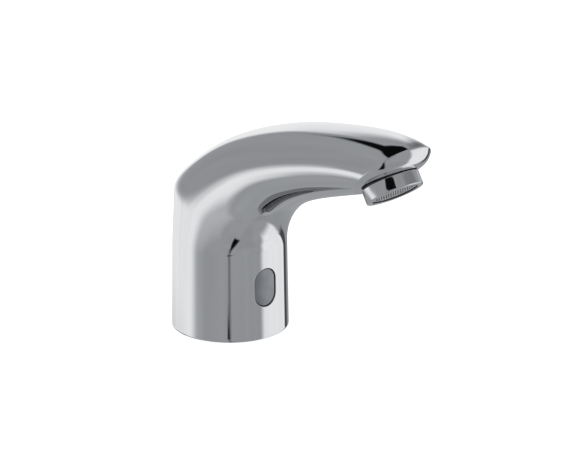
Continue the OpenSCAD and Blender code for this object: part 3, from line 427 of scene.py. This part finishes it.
class Casting:
    """The casting's outer form. Points in the side view are (distance in front of the axis, height)."""

    face_steps = 12

    def __init__(self, sizes, around=96):
        self.angles = np.arange(around) * TURN / around
        self.slope = slope = math.tan(sizes.draft)
        self.base_radius = sizes.base_diameter / 2
        column = sizes.column_height
        top, rise = self.base_radius - column * slope, sizes.nose_height - column
        lead = LEAD_SHARE * rise
        self.along = np.array([math.cos(sizes.outlet_lean), math.sin(sizes.outlet_lean)])
        self.outlet = np.array([sizes.outlet_reach, sizes.outlet_height])
        heel = self.outlet - self.along * sizes.collar_diameter / 2 * HEEL_SHARE
        self.outer = np.array([(-top, column), (-top + lead * slope, column + lead)] + [
            (-top + a * (sizes.nose_reach + top), column + b * rise) for a, b in OUTER_SHARES])
        self.inner = np.array([(top, column), (top - lead * slope, column + lead)] + [
            (top + a * (heel[0] - top), column + b * (heel[1] - column)) for a, b in INNER_SHARES])
        self.widths = np.array([top, top - lead * slope] + [share * top for share in WIDTH_SHARES])
        tip = self.outer[-1]
        self.face_half = np.linalg.norm(tip - heel) / 2
        self.face_up = (tip - heel) / (2 * self.face_half)
        self.face_out = np.array([self.face_up[1], -self.face_up[0]])
        self.face_mid = (tip + heel) / 2
        offset = self.outlet - self.face_mid
        self.face_tilt = (self.along @ self.face_out) / (self.along @ self.face_up)
        self.face_base = offset @ self.face_out - self.face_tilt * (offset @ self.face_up)

    def radius(self, height):
        return self.base_radius - height * self.slope

    def column_ring(self, height, inset=0.0):
        return circle(self.radius(height) - inset, self.angles, height)

    def spout_ring(self, share, inset=0.0):
        """The oval ring at a share of the way from the column to the end face"""
        weights = spline_weights(share, len(self.outer))
        outer, inner, width = weights @ self.outer, weights @ self.inner, weights @ self.widths
        height = np.linalg.norm(outer - inner)
        up = (outer - inner) / height
        v = (height / 2 - inset) * np.sin(self.angles)
        p = (outer + inner) / 2 + up * v[:, None]
        return np.stack([(width - inset) * np.cos(self.angles), -p[:, 0], p[:, 1]], 1)

    def face_points(self, x, v):
        """Points of the end face, which swells from its rim into a flat seat for the collar"""
        share = np.sqrt((x / self.widths[-1]) ** 2 + (v / self.face_half) ** 2)
        swell = 1 - np.minimum(share, 1) ** FACE_POWER
        rise = swell * (self.face_base + self.face_tilt * v)
        p = self.face_mid + self.face_up * v[:, None] + self.face_out * rise[:, None]
        return np.stack([x, -p[:, 0], p[:, 1]], 1)

    def outlet_matrix(self):
        lean = math.atan2(self.along[1], self.along[0])
        return (Matrix.Translation((0, -self.outlet[0], self.outlet[1]))
                @ Matrix.Rotation(-lean, 4, "X"))

    def circle_on_face(self, radius):
        """The circle round the outlet's axis where it meets the end face, and its places along the face"""
        matrix = self.outlet_matrix()
        points = moved(circle(radius, self.angles, 0), matrix)
        axis = np.array(matrix)[:3, 2]
        out, up, middle = (np.array([0, -p[0], p[1]]) for p in (self.face_out, self.face_up, self.face_mid))
        for _ in range(self.face_steps):
            offset = points - middle
            wanted = (self.face_points(offset[:, 0], offset @ up) - middle) @ out
            points = points + axis * ((wanted - offset @ out) / (axis @ out))[:, None]
        return points, (points - middle) @ up


def toward(a, b, distance):
    """Points at a distance from the points a on the way to the points b"""
    step = b - a
    return a + step / np.linalg.norm(step, axis=1, keepdims=True) * distance


def half_stadium(sizes):
    """The window's half width, and half the length of its straight sides"""
    return sizes.window_width / 2, (sizes.window_length - sizes.window_width) / 2


def stadium_reach(direction_x, direction_z, half_width, straight):
    """Distance from the centre to the edge of an upright stadium along a direction"""
    length = np.hypot(direction_x, direction_z)
    dx, dz = direction_x / length, direction_z / length
    side = half_width / np.maximum(np.abs(dx), TINY)
    on_side = np.abs(dz) * side <= straight
    reach = np.abs(dz) * straight + np.sqrt(
        np.maximum((np.abs(dz) * straight) ** 2 - straight ** 2 + half_width ** 2, 0))
    return np.where(on_side, side, reach)


def on_cone(form, x, z, recess=0.0):
    """Points on the front of the column, seen at x and z"""
    r = form.radius(z) - recess
    return np.stack([x, -np.sqrt(r * r - x * x), z], 1)


def rounded_edge(form, unit_x, unit_z, centre, start, end, drop, recess=0.0):
    """Rings on the front of the column that turn inwards from one reach to the next by a drop"""
    rings = []
    for angle in np.arange(1, EDGE_RINGS + 1) / EDGE_RINGS * math.pi / 2:
        reach = start + (end - start) * math.sin(angle)
        ring = on_cone(form, unit_x * reach, centre + unit_z * reach, recess)
        ring[:, 1] += drop * (1 - math.cos(angle))
        rings.append(ring)
    return rings


class TAP_OT_casting(bpy.types.Operator):
    """Build the chromed casting with its window hole and its outlet"""
    bl_idname = "tap.casting"
    bl_label = "Casting"

    around = 240
    cavity_share = 0.74
    cavity_steps = 40
    spout_steps = 190
    foot_round = 0.0007
    # Inset and height of each ring round the foot, as shares of the rounding
    foot_rings = ((2, 0), (1, 0), (0.62, 0.08), (0.29, 0.29), (0.08, 0.62), (0, 1))

    # The rim between the skin and the end face, and its outermost rings, as shares of the rounding
    edge_round = 0.0004
    edge_steps = 4
    edge_leads = (2.2, 1.3)
    skin_share = 0.985
    near_share = 0.97
    land_start = 0.06
    land_steps = 14

    mouth_inset = 0.0005
    socket_inset = 0.001
    socket_start = 0.0008
    socket_next = 0.0012
    socket_depth = 0.0095
    chamber_radius = 0.006
    chamber_depth = 0.0065
    bore_round = 0.0002

    # The patch of the rings' grid that the window's hole takes the place of, and the loops inside it
    patch_half = 16
    patch_low = 12
    patch_high = 38
    window_gap = 0.00025
    window_round = 0.0002
    skin_loops = (0.15, 0.3, 0.45, 0.6, 0.72, 0.82, 0.9, 0.95, 0.98, 1.0)
    wall_loops = (0.3, 0.65, 1.0)
    cavity_loops = (0.4, 0.8)

    def rows(self, form, sizes):
        """Rings from the end of the cavity down to the foot, up over the skin and into the bore"""
        wall, foot, steps = sizes.wall, self.foot_round, self.cavity_steps
        column = int(round(sizes.column_height / MM))
        rows = [form.spout_ring(self.cavity_share * s / steps, wall) for s in range(steps, 0, -1)]
        self.cavity_start = len(rows) + column
        rows += [form.column_ring(z * MM, wall) for z in range(column, -1, -1)]
        rows += [form.column_ring(0, foot * inset) + np.array([0, 0, foot * height])
                 for inset, height in self.foot_rings]
        self.outer_start = len(rows) - 1
        rows += [form.column_ring(z * MM) for z in range(1, column + 1)]
        rows += [form.spout_ring(s / self.spout_steps) for s in range(1, self.spout_steps - 1)]
        return rows + self.face_rows(form, sizes) + self.bore_rows(form, sizes)

    def face_rows(self, form, sizes):
        """Rings round the rim and over the end face to the mouth of the socket"""
        edge, skin = form.spout_ring(1.0), form.spout_ring(self.skin_share)
        x, v = form.widths[-1] * np.cos(form.angles), form.face_half * np.sin(form.angles)
        near = form.face_points(x * self.near_share, v * self.near_share)
        turn = self.edge_round
        rows = [toward(edge, skin, turn * lead) for lead in self.edge_leads]
        rows += bend(toward(edge, skin, turn), edge, toward(edge, near, turn), self.edge_steps)
        rows.append(toward(edge, near, turn * self.edge_leads[-1]))
        mouth, mouth_v = form.circle_on_face(sizes.collar_diameter / 2 - self.mouth_inset)
        for s in range(self.land_steps + 1):
            t = self.land_start + (1 - self.land_start) * s / self.land_steps
            rows.append(form.face_points(x + (mouth[:, 0] - x) * t, v + (mouth_v - v) * t))
        return rows

    def bore_rows(self, form, sizes):
        """Rings down the collar's socket and the chamber behind it"""
        socket, chamber = sizes.collar_diameter / 2 - self.socket_inset, self.chamber_radius
        turn, deep, end = self.bore_round, self.socket_depth, self.socket_depth + self.chamber_depth
        profile = ((socket, self.socket_start), (socket, self.socket_next), (socket, deep - turn),
                   (socket - turn, deep), (chamber, deep), (chamber, end - turn), (chamber - turn, end))
        return [moved(circle(r, form.angles, depth), form.outlet_matrix()) for r, depth in profile]

    def window_loops(self, form, sizes, outer, inner):
        """Loops from the patch's border on the skin, through the hole, to its border in the cavity"""
        centre, turn = sizes.window_centre, self.window_round
        half_width, straight = half_stadium(sizes)
        half_width += self.window_gap
        dx, dz = outer[:, 0], outer[:, 2] - centre
        length = np.hypot(dx, dz)
        unit_x, unit_z = dx / length, dz / length
        lip = stadium_reach(dx, dz, half_width + turn, straight)
        hole = stadium_reach(dx, dz, half_width, straight)
        loops = []
        for t in self.skin_loops:
            reach = length + (lip - length) * t
            loops.append(on_cone(form, unit_x * reach, centre + unit_z * reach))
        loops += rounded_edge(form, unit_x, unit_z, centre, lip, hole, turn)
        x, z = unit_x * hole, centre + unit_z * hole
        front, rear = on_cone(form, x, z), on_cone(form, x, z, sizes.wall)
        loops += [front + (rear - front) * t for t in self.wall_loops]
        for t in self.cavity_loops:
            between_x, between_z = x + (inner[:, 0] - x) * t, z + (inner[:, 2] - z) * t
            loops.append(on_cone(form, between_x, between_z, sizes.wall))
        return loops

    def execute(self, context):
        sizes = context.scene.tap_sizes
        form = Casting(sizes, self.around)
        rows = self.rows(form, sizes)
        size, low, high = self.around, self.patch_low, self.patch_high
        # The rings start at +X, so the front of the column is three quarters of the way round
        first, last = size * 3 // 4 - self.patch_half, size * 3 // 4 + self.patch_half

        def outer_at(z):
            return self.outer_start + z

        def cavity_at(z):
            return self.cavity_start - z

        def in_window(ring, i):
            in_skin = outer_at(low) <= ring < outer_at(high)
            in_cavity = cavity_at(high) <= ring < cavity_at(low)
            return first <= i < last and (in_skin or in_cavity)

        def border(row_at):
            loop = [(low, i) for i in range(first, last)] + [(z, last) for z in range(low, high)]
            loop += [(high, i) for i in range(last, first, -1)]
            loop += [(z, first) for z in range(high, low, -1)]
            return [row_at(z) * size + i for z, i in loop]

        points = [p for ring in rows for p in ring]
        faces = strip_faces(len(rows), size, in_window)
        for ring, flip in ((0, True), (len(rows) - 1, False)):
            centre = len(points)
            points.append(rows[ring].mean(axis=0))
            for i in range(size):
                a, b = ring * size + i, ring * size + (i + 1) % size
                faces.append((centre, b, a) if flip else (a, b, centre))

        skin_border, cavity_border = border(outer_at), border(cavity_at)
        sides = [np.array([points[i] for i in side]) for side in (skin_border, cavity_border)]
        ids = [skin_border]
        for loop in self.window_loops(form, sizes, *sides):
            ids.append(list(range(len(points), len(points) + len(loop))))
            points += list(loop)
        ids.append(cavity_border)
        for a, b in zip(ids, ids[1:]):
            faces += bridge(a, b)
        shell = make_mesh("chromed_casting", points, faces, FINISHES["chrome"], sharp=40)
        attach(shell, BODY)
        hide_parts("body_shell")
        return {"FINISHED"}


class TAP_OT_window(bpy.types.Operator):
    """Build the smoked sensor window"""
    bl_idname = "tap.window"
    bl_label = "Sensor window"

    recess = 0.0005
    thickness = 0.0022
    edge = 0.0004
    around = 120
    front_loops = (0.12, 0.25, 0.4, 0.55, 0.7, 0.82, 0.92, 0.97, 1.0)
    rear_share = 0.5

    def execute(self, context):
        sizes = context.scene.tap_sizes
        form = Casting(sizes)
        half_width, straight = half_stadium(sizes)
        centre, recess, count, share = sizes.window_centre, self.recess, self.around, self.rear_share
        face = form.radius(centre) - recess
        turn = np.arange(count) * TURN / count
        unit_x, unit_z = np.cos(turn), np.sin(turn)
        edge = stadium_reach(unit_x, unit_z, half_width, straight)
        inner = stadium_reach(unit_x, unit_z, half_width - self.edge, straight)
        loops = [on_cone(form, unit_x * inner * t, centre + unit_z * inner * t, recess)
                 for t in self.front_loops]
        loops += rounded_edge(form, unit_x, unit_z, centre, inner, edge, self.edge, recess)
        rear = np.stack([unit_x * edge, np.full(count, self.thickness - face), centre + unit_z * edge], 1)
        loops += [rear, rear * np.array([share, 1, share]) + np.array([0, 0, centre * (1 - share)])]
        points = [np.array([0, -face, centre])] + [p for loop in loops for p in loop]
        ids = [list(range(1 + k * count, 1 + (k + 1) * count)) for k in range(len(loops))]
        faces = [(0, ids[0][i], ids[0][(i + 1) % count]) for i in range(count)]
        for a, b in zip(ids, ids[1:]):
            faces += [(near, far, far_next, near_next) for near, near_next, far_next, far in bridge(a, b)]
        faces.append(tuple(ids[-1]))
        lens = make_mesh("sensor_window", points, faces, FINISHES["smoked_lens"], sharp=40)
        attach(lens, BODY)
        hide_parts("sensor_lens")
        return {"FINISHED"}


class TAP_OT_aerator(bpy.types.Operator):
    """Build the screwed collar and the ribbed grille inside it"""
    bl_idname = "tap.aerator"
    bl_label = "Aerator"

    gap = 0.0003
    collar_steps = 160
    collar_round = 0.0007
    thread_radius = 0.0119
    thread_height = 0.008
    bore = 0.0106
    mouth = 0.0103
    lip = 0.0008

    insert_steps = 120
    insert_radius = 0.0105
    insert_wall = 0.001
    insert_height = 0.01178
    insert_round = 0.0002
    insert_rings = 3
    insert_clear = 0.00003

    # The grille's ribs: those of the cross set stand wider apart and start higher
    rib = 0.0005
    rib_height = 0.0016
    rib_round = 0.0002
    rib_flat = 0.4
    rib_hold = 0.3
    pitch = 0.00107
    cross_pitch = 0.0032
    cross_lift = 0.0008
    grille_turn = math.radians(53)

    def collar(self, matrix, radius, low):
        gap, lip = self.gap, self.lip
        profile = rounded([
            (self.mouth, low + lip, 0.0002), (self.mouth, low, 0.0004),
            (radius, low, self.collar_round), (radius, -gap, 0.0003),
            (self.thread_radius, -gap, 0.0001), (self.thread_radius, self.thread_height, 0.0004),
            (self.bore, self.thread_height, 0.0002), (self.bore, low + lip, 0.0001)], EDGE_RINGS)
        points, faces = lathe(profile, self.collar_steps)
        collar = make_mesh("aerator_collar", moved(points, matrix), faces, FINISHES["collar"], sharp=40)
        # The faces of the thread in the socket and of the bore get the dark metal, which paints the shade
        # that falls in the gap and in the bore
        collar.data.materials.append(FINISHES["thread_painted_shade"])
        for face, corners in zip(collar.data.polygons, faces):
            in_socket = min(points[i][2] for i in corners) > -gap - lip / 8
            in_bore = max(np.hypot(*points[i][:2]) for i in corners) < self.mouth + lip / 8
            face.material_index = 1 if in_socket or in_bore else 0
        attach(collar, BODY)
        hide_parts("aerator_sleeve")

    def ribs(self, first, bottom, reach, turned):
        """Points and faces of a set of parallel ribs, numbered from first; turned ones run along Y"""
        pitch, lift = (self.cross_pitch, self.cross_lift) if turned else (self.pitch, 0)
        half, top = self.rib / 2, self.rib_height
        flat, turn = half * self.rib_flat, self.rib_round
        section = [(-half, turn), (-flat, 0.0), (flat, 0.0), (half, turn), (half, top), (-half, top)]
        size = len(section)
        count = int((self.insert_radius - self.insert_wall) / pitch)
        points, faces = [], []
        for place in np.arange(-count, count + 1) * pitch:
            base = first + len(points)
            length = math.sqrt(max(reach ** 2 - place ** 2, 0))
            for end in (-length, length):
                for off, z in section:
                    spot = (place + off, end) if turned else (end, place + off)
                    points.append((*spot, bottom + lift + z))
            near, far = range(base, base + size), range(base + size, base + 2 * size)
            rib = bridge(near, far) + [tuple(reversed(near)), tuple(far)]
            faces += [face[::-1] for face in rib] if turned else rib
        return points, faces

    def grille(self, matrix, bottom):
        inner, outer = self.insert_radius - self.insert_wall, self.insert_radius
        top, turn = bottom + self.insert_height, self.insert_round
        shell = rounded([(inner, bottom, turn), (outer, bottom, turn), (outer, top, turn),
                         (inner, top, turn)], self.insert_rings)
        points, faces = map(list, lathe(shell, self.insert_steps))
        for turned in (False, True):
            more = self.ribs(len(points), bottom, inner + self.insert_wall * self.rib_hold, turned)
            points += more[0]
            faces += more[1]
        points = moved(points, matrix @ Matrix.Rotation(self.grille_turn, 4, "Z"))
        grille = make_mesh("aerator_grille", points, faces, FINISHES["grey_plastic"], sharp=30)
        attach(grille, BODY)
        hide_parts("aerator_insert")

    def execute(self, context):
        sizes = context.scene.tap_sizes
        matrix, low = Casting(sizes).outlet_matrix(), -sizes.collar_length
        self.collar(matrix, sizes.collar_diameter / 2, low)
        self.grille(matrix, low + self.lip + self.insert_clear)
        return {"FINISHED"}


class TAP_OT_springs(bpy.types.Operator):
    """Wind the three springs as fixed coils between their lower ends and their fixed upper ends"""
    bl_idname = "tap.springs"
    bl_label = "Springs"

    wire = 0.00025
    steps = 32
    sides = 10
    # Node, joint, y of the axis, coil radius, lower end, fixed upper end, turns, travel
    springs = (
        ("plunger_spring", "plunger_slide", 0.0025, 0.0019, 0.05142, 0.0588, 6, 0.003),
        ("piston_spring", "piston_slide", 0.0025, 0.0056, 0.03929, 0.04557, 3, 0.002),
        ("check_spring", "check_slide", -0.0035, 0.0018, 0.01416, 0.02074, 4, 0.002))

    def coil(self, radius, low, high, turns):
        count = turns * self.steps
        around = np.arange(self.sides) * TURN / self.sides
        points = []
        for k in range(count + 1):
            turn = k * TURN / self.steps
            reach = radius + self.wire * np.cos(around)
            z = low + self.wire + (high - low - 2 * self.wire) * k / count
            points += list(np.stack([reach * math.cos(turn), reach * math.sin(turn),
                                     z + self.wire * np.sin(around)], 1))
        faces = [face[::-1] for face in strip_faces(count + 1, self.sides)]
        numbers = range(len(points))
        faces += [tuple(numbers[:self.sides]), tuple(reversed(numbers[-self.sides:]))]
        return np.array(points), faces

    def execute(self, context):
        for node, joint, y, radius, low, high, turns, travel in self.springs:
            points, faces = self.coil(radius, low, high, turns)
            points += np.array([0, y, 0])
            coil = make_mesh(node + "_coil", points, faces, FINISHES["steel"], sharp=60)
            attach(coil, BODY)
            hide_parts(node)
            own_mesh(coil)
        return {"FINISHED"}


class TAP_OT_solid_finishes(bpy.types.Operator):
    """Give each remaining solid part its own surface"""
    bl_idname = "tap.solid_finishes"
    bl_label = "Inner parts"

    special = {"coil_winding": "winding"}

    def execute(self, context):
        slots = {s["node"]: s["material_slot"] for s in frame["record"]["subparts"]}
        for name, obj in NODES.items():
            obj.data.materials.clear()
            obj.data.materials.append(FINISHES[self.special.get(name, slots[name])])
        return {"FINISHED"}


# ---------------------------------------------------------------- studio

# The photo's view: where the camera stands, how far it is shifted, and its lens
VIEW_AZIMUTH = math.radians(-39)
VIEW_RISE = math.radians(18.545)
VIEW_DISTANCE = 1.2
VIEW_RIGHT = 0.02572
VIEW_UP = 0.0458
FOCAL_PIXELS = 2545
FRAME_WIDTH = 570

# The light tent's brightness, its slow drift, and the tint of its darkest places
TENT_BASE = 0.358
CLOUD_SCALE = 3.2
CLOUD_DEPTH = 0.2
TENT_SHADE = (0.945, 0.985, 1.055)

# The fields of the tent, each over the ones before it: brightness, azimuth of the middle from the first
# view's direction, and corners as (azimuth from the middle, rise, softness of the edge that starts there)
TENT = {
    "grey_left": (0.34, -115, [(-35, -2, 8), (29, -2, 6), (29, 28, 10), (-35, 28, 10)]),
    "grey_left_floor": (0.373, -105, [(-47, -80, 8), (54, -80, 7), (12, -38, 3.5), (-43, -30, 12)]),
    "grey_front_floor": (0.337, 42, [(-27, -85, 10), (33, -85, 9), (18, -41, 11), (-24, -41, 10)]),
    "grey_right": (0.24, 85, [(-30, 18, 8), (27, 18, 10), (27, 45, 6), (-30, 45, 10)]),
    "pale_left": (0.52, -70, [(-23, -35, 5), (13, -60, 11), (29, -46, 12), (-5, -10, 7)]),
    "long_box": (0.93, -130, [(-38, -21, 3.4), (37, -22, 6), (33, -9, 7), (-36, -4, 10)]),
    "front_box": (0.95, -88, [(-7, -33, 7), (8, -37, 9), (13, -11, 4.6), (-11, -12, 6)]),
    "rear_box": (0.93, 180, [(-12, -14, 2.5), (18, -14, 3), (19, 28, 12), (-12, 30, 7)]),
    "right_box": (0.94, 105, [(0, -63, 7), (37, -63, 3), (37, -7, 6), (-41, -8, 6.4), (-27, -44, 6)]),
    "pale_right": (0.52, 135, [(-17, -10, 5), (25, -12, 5), (25, 6, 6), (-17, 6, 6)]),
    "grey_rear": (0.33, 158, [(-12, -90, 2), (17, -85, 6), (7, -8, 6), (-13, -12, 2)]),
    "dark_edge": (0.07, 146, [(-8, -40, 5), (5, -40, 2), (5, -12, 3), (-10, -12, 1.6)]),
    "dark_rear": (0.12, 163, [(-4, -6, 7), (5, -10, 6), (6, 51, 9), (-8, 54, 9)]),
    "black_roof": (0.004, -145, [(-60, 52, 1.6), (-4, 51.5, 1.6), (61, 58.5, 3), (67, 85, 4),
                                 (-60, 95, 4)]),
    "black_corner": (0.004, -145, [(-9, 30, 2.2), (23.5, 59.5, 3), (-7, 61, 3)]),
    "grey_slit": (0.19, 0, [(-2.2, -38, 3), (3.6, -38, 2), (1.7, -12, 4), (-2.6, -12, 1.4)]),
    "black_slit": (0.004, 0, [(-4.4, -21, 1), (10, -21.2, 0.35), (-1.6, -18.65, 0.3), (-4.4, -18.65, 1.2)]),
    "black_wedge": (0.004, 6, [(-8, -61.5, 2), (12, -62.5, 3), (-5, -30, 2)]),
    "black_card": (0.004, -10, [(-22, 18, 1), (17, 22, 1), (17, 44, 1.2), (-18, 43, 1)]),
}

# What light meets below this rise when the chrome has turned it back more than this number of times
TWICE_DEPTH = 1.5
TWICE_RISE = -44
TWICE_BASE = 0.46
TWICE_TENT = {
    "twice_left": (0.22, -60, [(-80, -90, 8), (64, -90, 8), (64, -40, 8), (-80, -40, 8)]),
    "twice_black": (0.004, 38, [(-30, -74, 6), (32, -74, 6), (44, -51, 8), (-30, -51, 1.5)]),
}


class Sky:
    """Node helpers for the light tent"""

    def __init__(self, tree):
        self.tree = tree
        tree.nodes.clear()

    def math(self, kind, *values):
        return node_of(self.tree, "ShaderNodeMath", dict(enumerate(values)), operation=kind).outputs[0]

    def blend(self, first, second, share):
        """The value a share of the way from the first to the second"""
        gain = self.math("MULTIPLY", self.math("SUBTRACT", second, first), share)
        return self.math("ADD", first, gain)

    def layers(self, level, fields, azimuth, rise):
        """The brightness where each field in turn lies over the ones before it"""
        for bright, middle, corners in fields.values():
            level = self.blend(level, bright, self.field(azimuth, rise, middle, corners))
        return level

    def depth(self, place, start, end, soft):
        """How far a place lies to the left of the edge from start to end, in units of the softness"""
        run = np.array(end) - np.array(start)
        normal = np.array([-run[1], run[0]]) / np.linalg.norm(run) / soft
        inputs = {0: place, 1: (*normal, -normal @ np.array(start))}
        return node_of(self.tree, "ShaderNodeVectorMath", inputs, operation="DOT_PRODUCT").outputs["Value"]

    def field(self, azimuth, rise, middle, corners):
        """How far each direction lies inside the field that the corners bound"""
        turn = self.math("WRAP", self.math("SUBTRACT", azimuth, middle), 180, -180)
        place = node_of(self.tree, "ShaderNodeCombineXYZ", {0: turn, 1: rise, 2: 1}).outputs[0]
        least = 1.0
        for k, (a, e, soft) in enumerate(corners):
            after = corners[(k + 1) % len(corners)][:2]
            least = self.math("MINIMUM", self.depth(place, (a, e), after, soft), least)
        inputs = {"Value": least, "From Min": -1}
        return node_of(self.tree, "ShaderNodeMapRange", inputs,
                       interpolation_type="SMOOTHSTEP").outputs["Result"]


class TAP_OT_studio(bpy.types.Operator):
    """Set up the floor, the soft light, the light tent and the camera"""
    bl_idname = "tap.studio"
    bl_label = "Studio"

    floor_size = 8.0
    floor_drop = 0.00005
    sensor_width = 36
    view_end = 50
    # Place and size of each soft light, and its share of the power
    soft_lights = {"overhead": ((-0.5, -0.6, 1.4), 1.2, 1), "fill": ((0.9, 0.5, 1.1), 1.0, 0.5)}

    def tent(self, scene):
        scene.world = bpy.data.worlds.new("light_tent")
        scene.world.use_nodes = True
        tree = scene.world.node_tree
        sky = Sky(tree)
        way = node_of(tree, "ShaderNodeTexCoord").outputs["Generated"]
        x, y, z = node_of(tree, "ShaderNodeSeparateXYZ", {0: way}).outputs
        front = (math.sin(VIEW_AZIMUTH), -math.cos(VIEW_AZIMUTH))
        side = (-front[1], front[0])
        ahead = sky.math("ADD", sky.math("MULTIPLY", x, front[0]), sky.math("MULTIPLY", y, front[1]))
        right = sky.math("ADD", sky.math("MULTIPLY", x, side[0]), sky.math("MULTIPLY", y, side[1]))
        azimuth = sky.math("DEGREES", sky.math("ARCTAN2", right, ahead))
        rise = sky.math("DEGREES", sky.math("ARCSINE", z))
        path = node_of(tree, "ShaderNodeLightPath").outputs
        once = sky.layers(TENT_BASE, TENT, azimuth, rise)
        twice = sky.layers(TWICE_BASE, TWICE_TENT, azimuth, rise)
        turned = sky.math("MULTIPLY", sky.math("GREATER_THAN", path["Glossy Depth"], TWICE_DEPTH),
                          sky.math("LESS_THAN", rise, TWICE_RISE))
        level = sky.blend(once, twice, turned)
        cloud = node_of(tree, "ShaderNodeTexNoise", {"Scale": CLOUD_SCALE, "Detail": 1, "Vector": way})
        drift = sky.math("MULTIPLY_ADD", cloud.outputs["Fac"], CLOUD_DEPTH, 1 - CLOUD_DEPTH / 2)
        level = sky.blend(sky.math("MULTIPLY", level, drift), 1.0, path["Is Camera Ray"])
        colour = colour_mix(tree, level, TENT_SHADE, (1, 1, 1))
        back = node_of(tree, "ShaderNodeBackground", {"Color": colour, "Strength": level})
        node_of(tree, "ShaderNodeOutputWorld", {"Surface": back.outputs[0]})

    def floor(self, look):
        half = self.floor_size / 2
        z = -self.floor_drop
        points = [(x * half, y * half, z) for x, y in ((-1, -1), (1, -1), (1, 1), (-1, 1))]
        paper = Finish("pale_floor", look.floor, roughness=0.7)
        paper.vary_roughness(paper.noise(scale=40, detail=3), amount=0.05)
        paper.shader.inputs["Emission Color"].default_value = (1, 1, 1, 1)
        paper.shader.inputs["Emission Strength"].default_value = look.floor_glow
        floor = make_mesh("studio_floor", points, [(0, 1, 2, 3)], paper.material)
        floor.visible_glossy = False

    def soft_light(self, name, place, size, power):
        data = bpy.data.lights.new(name, "AREA")
        data.shape = "DISK"
        data.size = size
        data.energy = power
        light = bpy.data.objects.new(name, data)
        light.location = place
        light.rotation_euler = (-Vector(place)).to_track_quat("-Z", "Y").to_euler()
        light.visible_glossy = False
        bpy.context.scene.collection.objects.link(light)

    def camera(self, scene):
        back = Vector((math.sin(VIEW_AZIMUTH) * math.cos(VIEW_RISE),
                       -math.cos(VIEW_AZIMUTH) * math.cos(VIEW_RISE), math.sin(VIEW_RISE)))
        right = Vector((0, 0, 1)).cross(back).normalized()
        up = back.cross(right)
        data = bpy.data.cameras.new("view")
        data.sensor_width = self.sensor_width
        data.lens = FOCAL_PIXELS / FRAME_WIDTH * data.sensor_width
        data.clip_end = self.view_end
        camera = bpy.data.objects.new("view", data)
        place = back * VIEW_DISTANCE + right * VIEW_RIGHT + up * VIEW_UP
        camera.matrix_world = Matrix.Translation(place) @ Matrix((right, up, back)).transposed().to_4x4()
        scene.collection.objects.link(camera)
        scene.camera = camera

    def execute(self, context):
        scene = context.scene
        look = scene.tap_studio
        scene.view_settings.view_transform = "Standard"
        scene.view_settings.look = "None"
        self.tent(scene)
        self.floor(look)
        for name, (place, size, share) in self.soft_lights.items():
            self.soft_light(name, place, size, look.light_power * share)
        self.camera(scene)
        return {"FINISHED"}


class TAP_PT_panel(bpy.types.Panel):
    """The sensor tap's settings and building steps"""
    bl_idname = "TAP_PT_panel"
    bl_label = "Sensor tap"
    bl_space_type = "VIEW_3D"
    bl_region_type = "UI"
    bl_category = "Sensor tap"

    def draw(self, context):
        layout = self.layout
        for name in GROUPS:
            group, box = getattr(context.scene, name), layout.box()
            for key in group.bl_rna.properties.keys():
                if key not in ("rna_type", "name"):
                    box.prop(group, key)
        for step in STEPS:
            layout.operator(step.bl_idname)


STEPS = (TAP_OT_studio, TAP_OT_casting, TAP_OT_window, TAP_OT_aerator, TAP_OT_springs,
         TAP_OT_solid_finishes)
GROUPS = {"tap_sizes": TapSizes, "tap_finishes": TapFinishes, "tap_studio": StudioLook}
CLASSES = (*GROUPS.values(), *STEPS, TAP_PT_panel)


def register():
    for cls in CLASSES:
        bpy.utils.register_class(cls)
    for name, group in GROUPS.items():
        setattr(bpy.types.Scene, name, bpy.props.PointerProperty(type=group))


def unregister():
    for name in GROUPS:
        delattr(bpy.types.Scene, name)
    for cls in reversed(CLASSES):
        bpy.utils.unregister_class(cls)


def main():
    register()
    make_finishes(bpy.context.scene.tap_finishes)
    for step in STEPS:
        getattr(bpy.ops.tap, step.bl_idname.split(".")[1])()


if __name__ == "__main__":
    main()
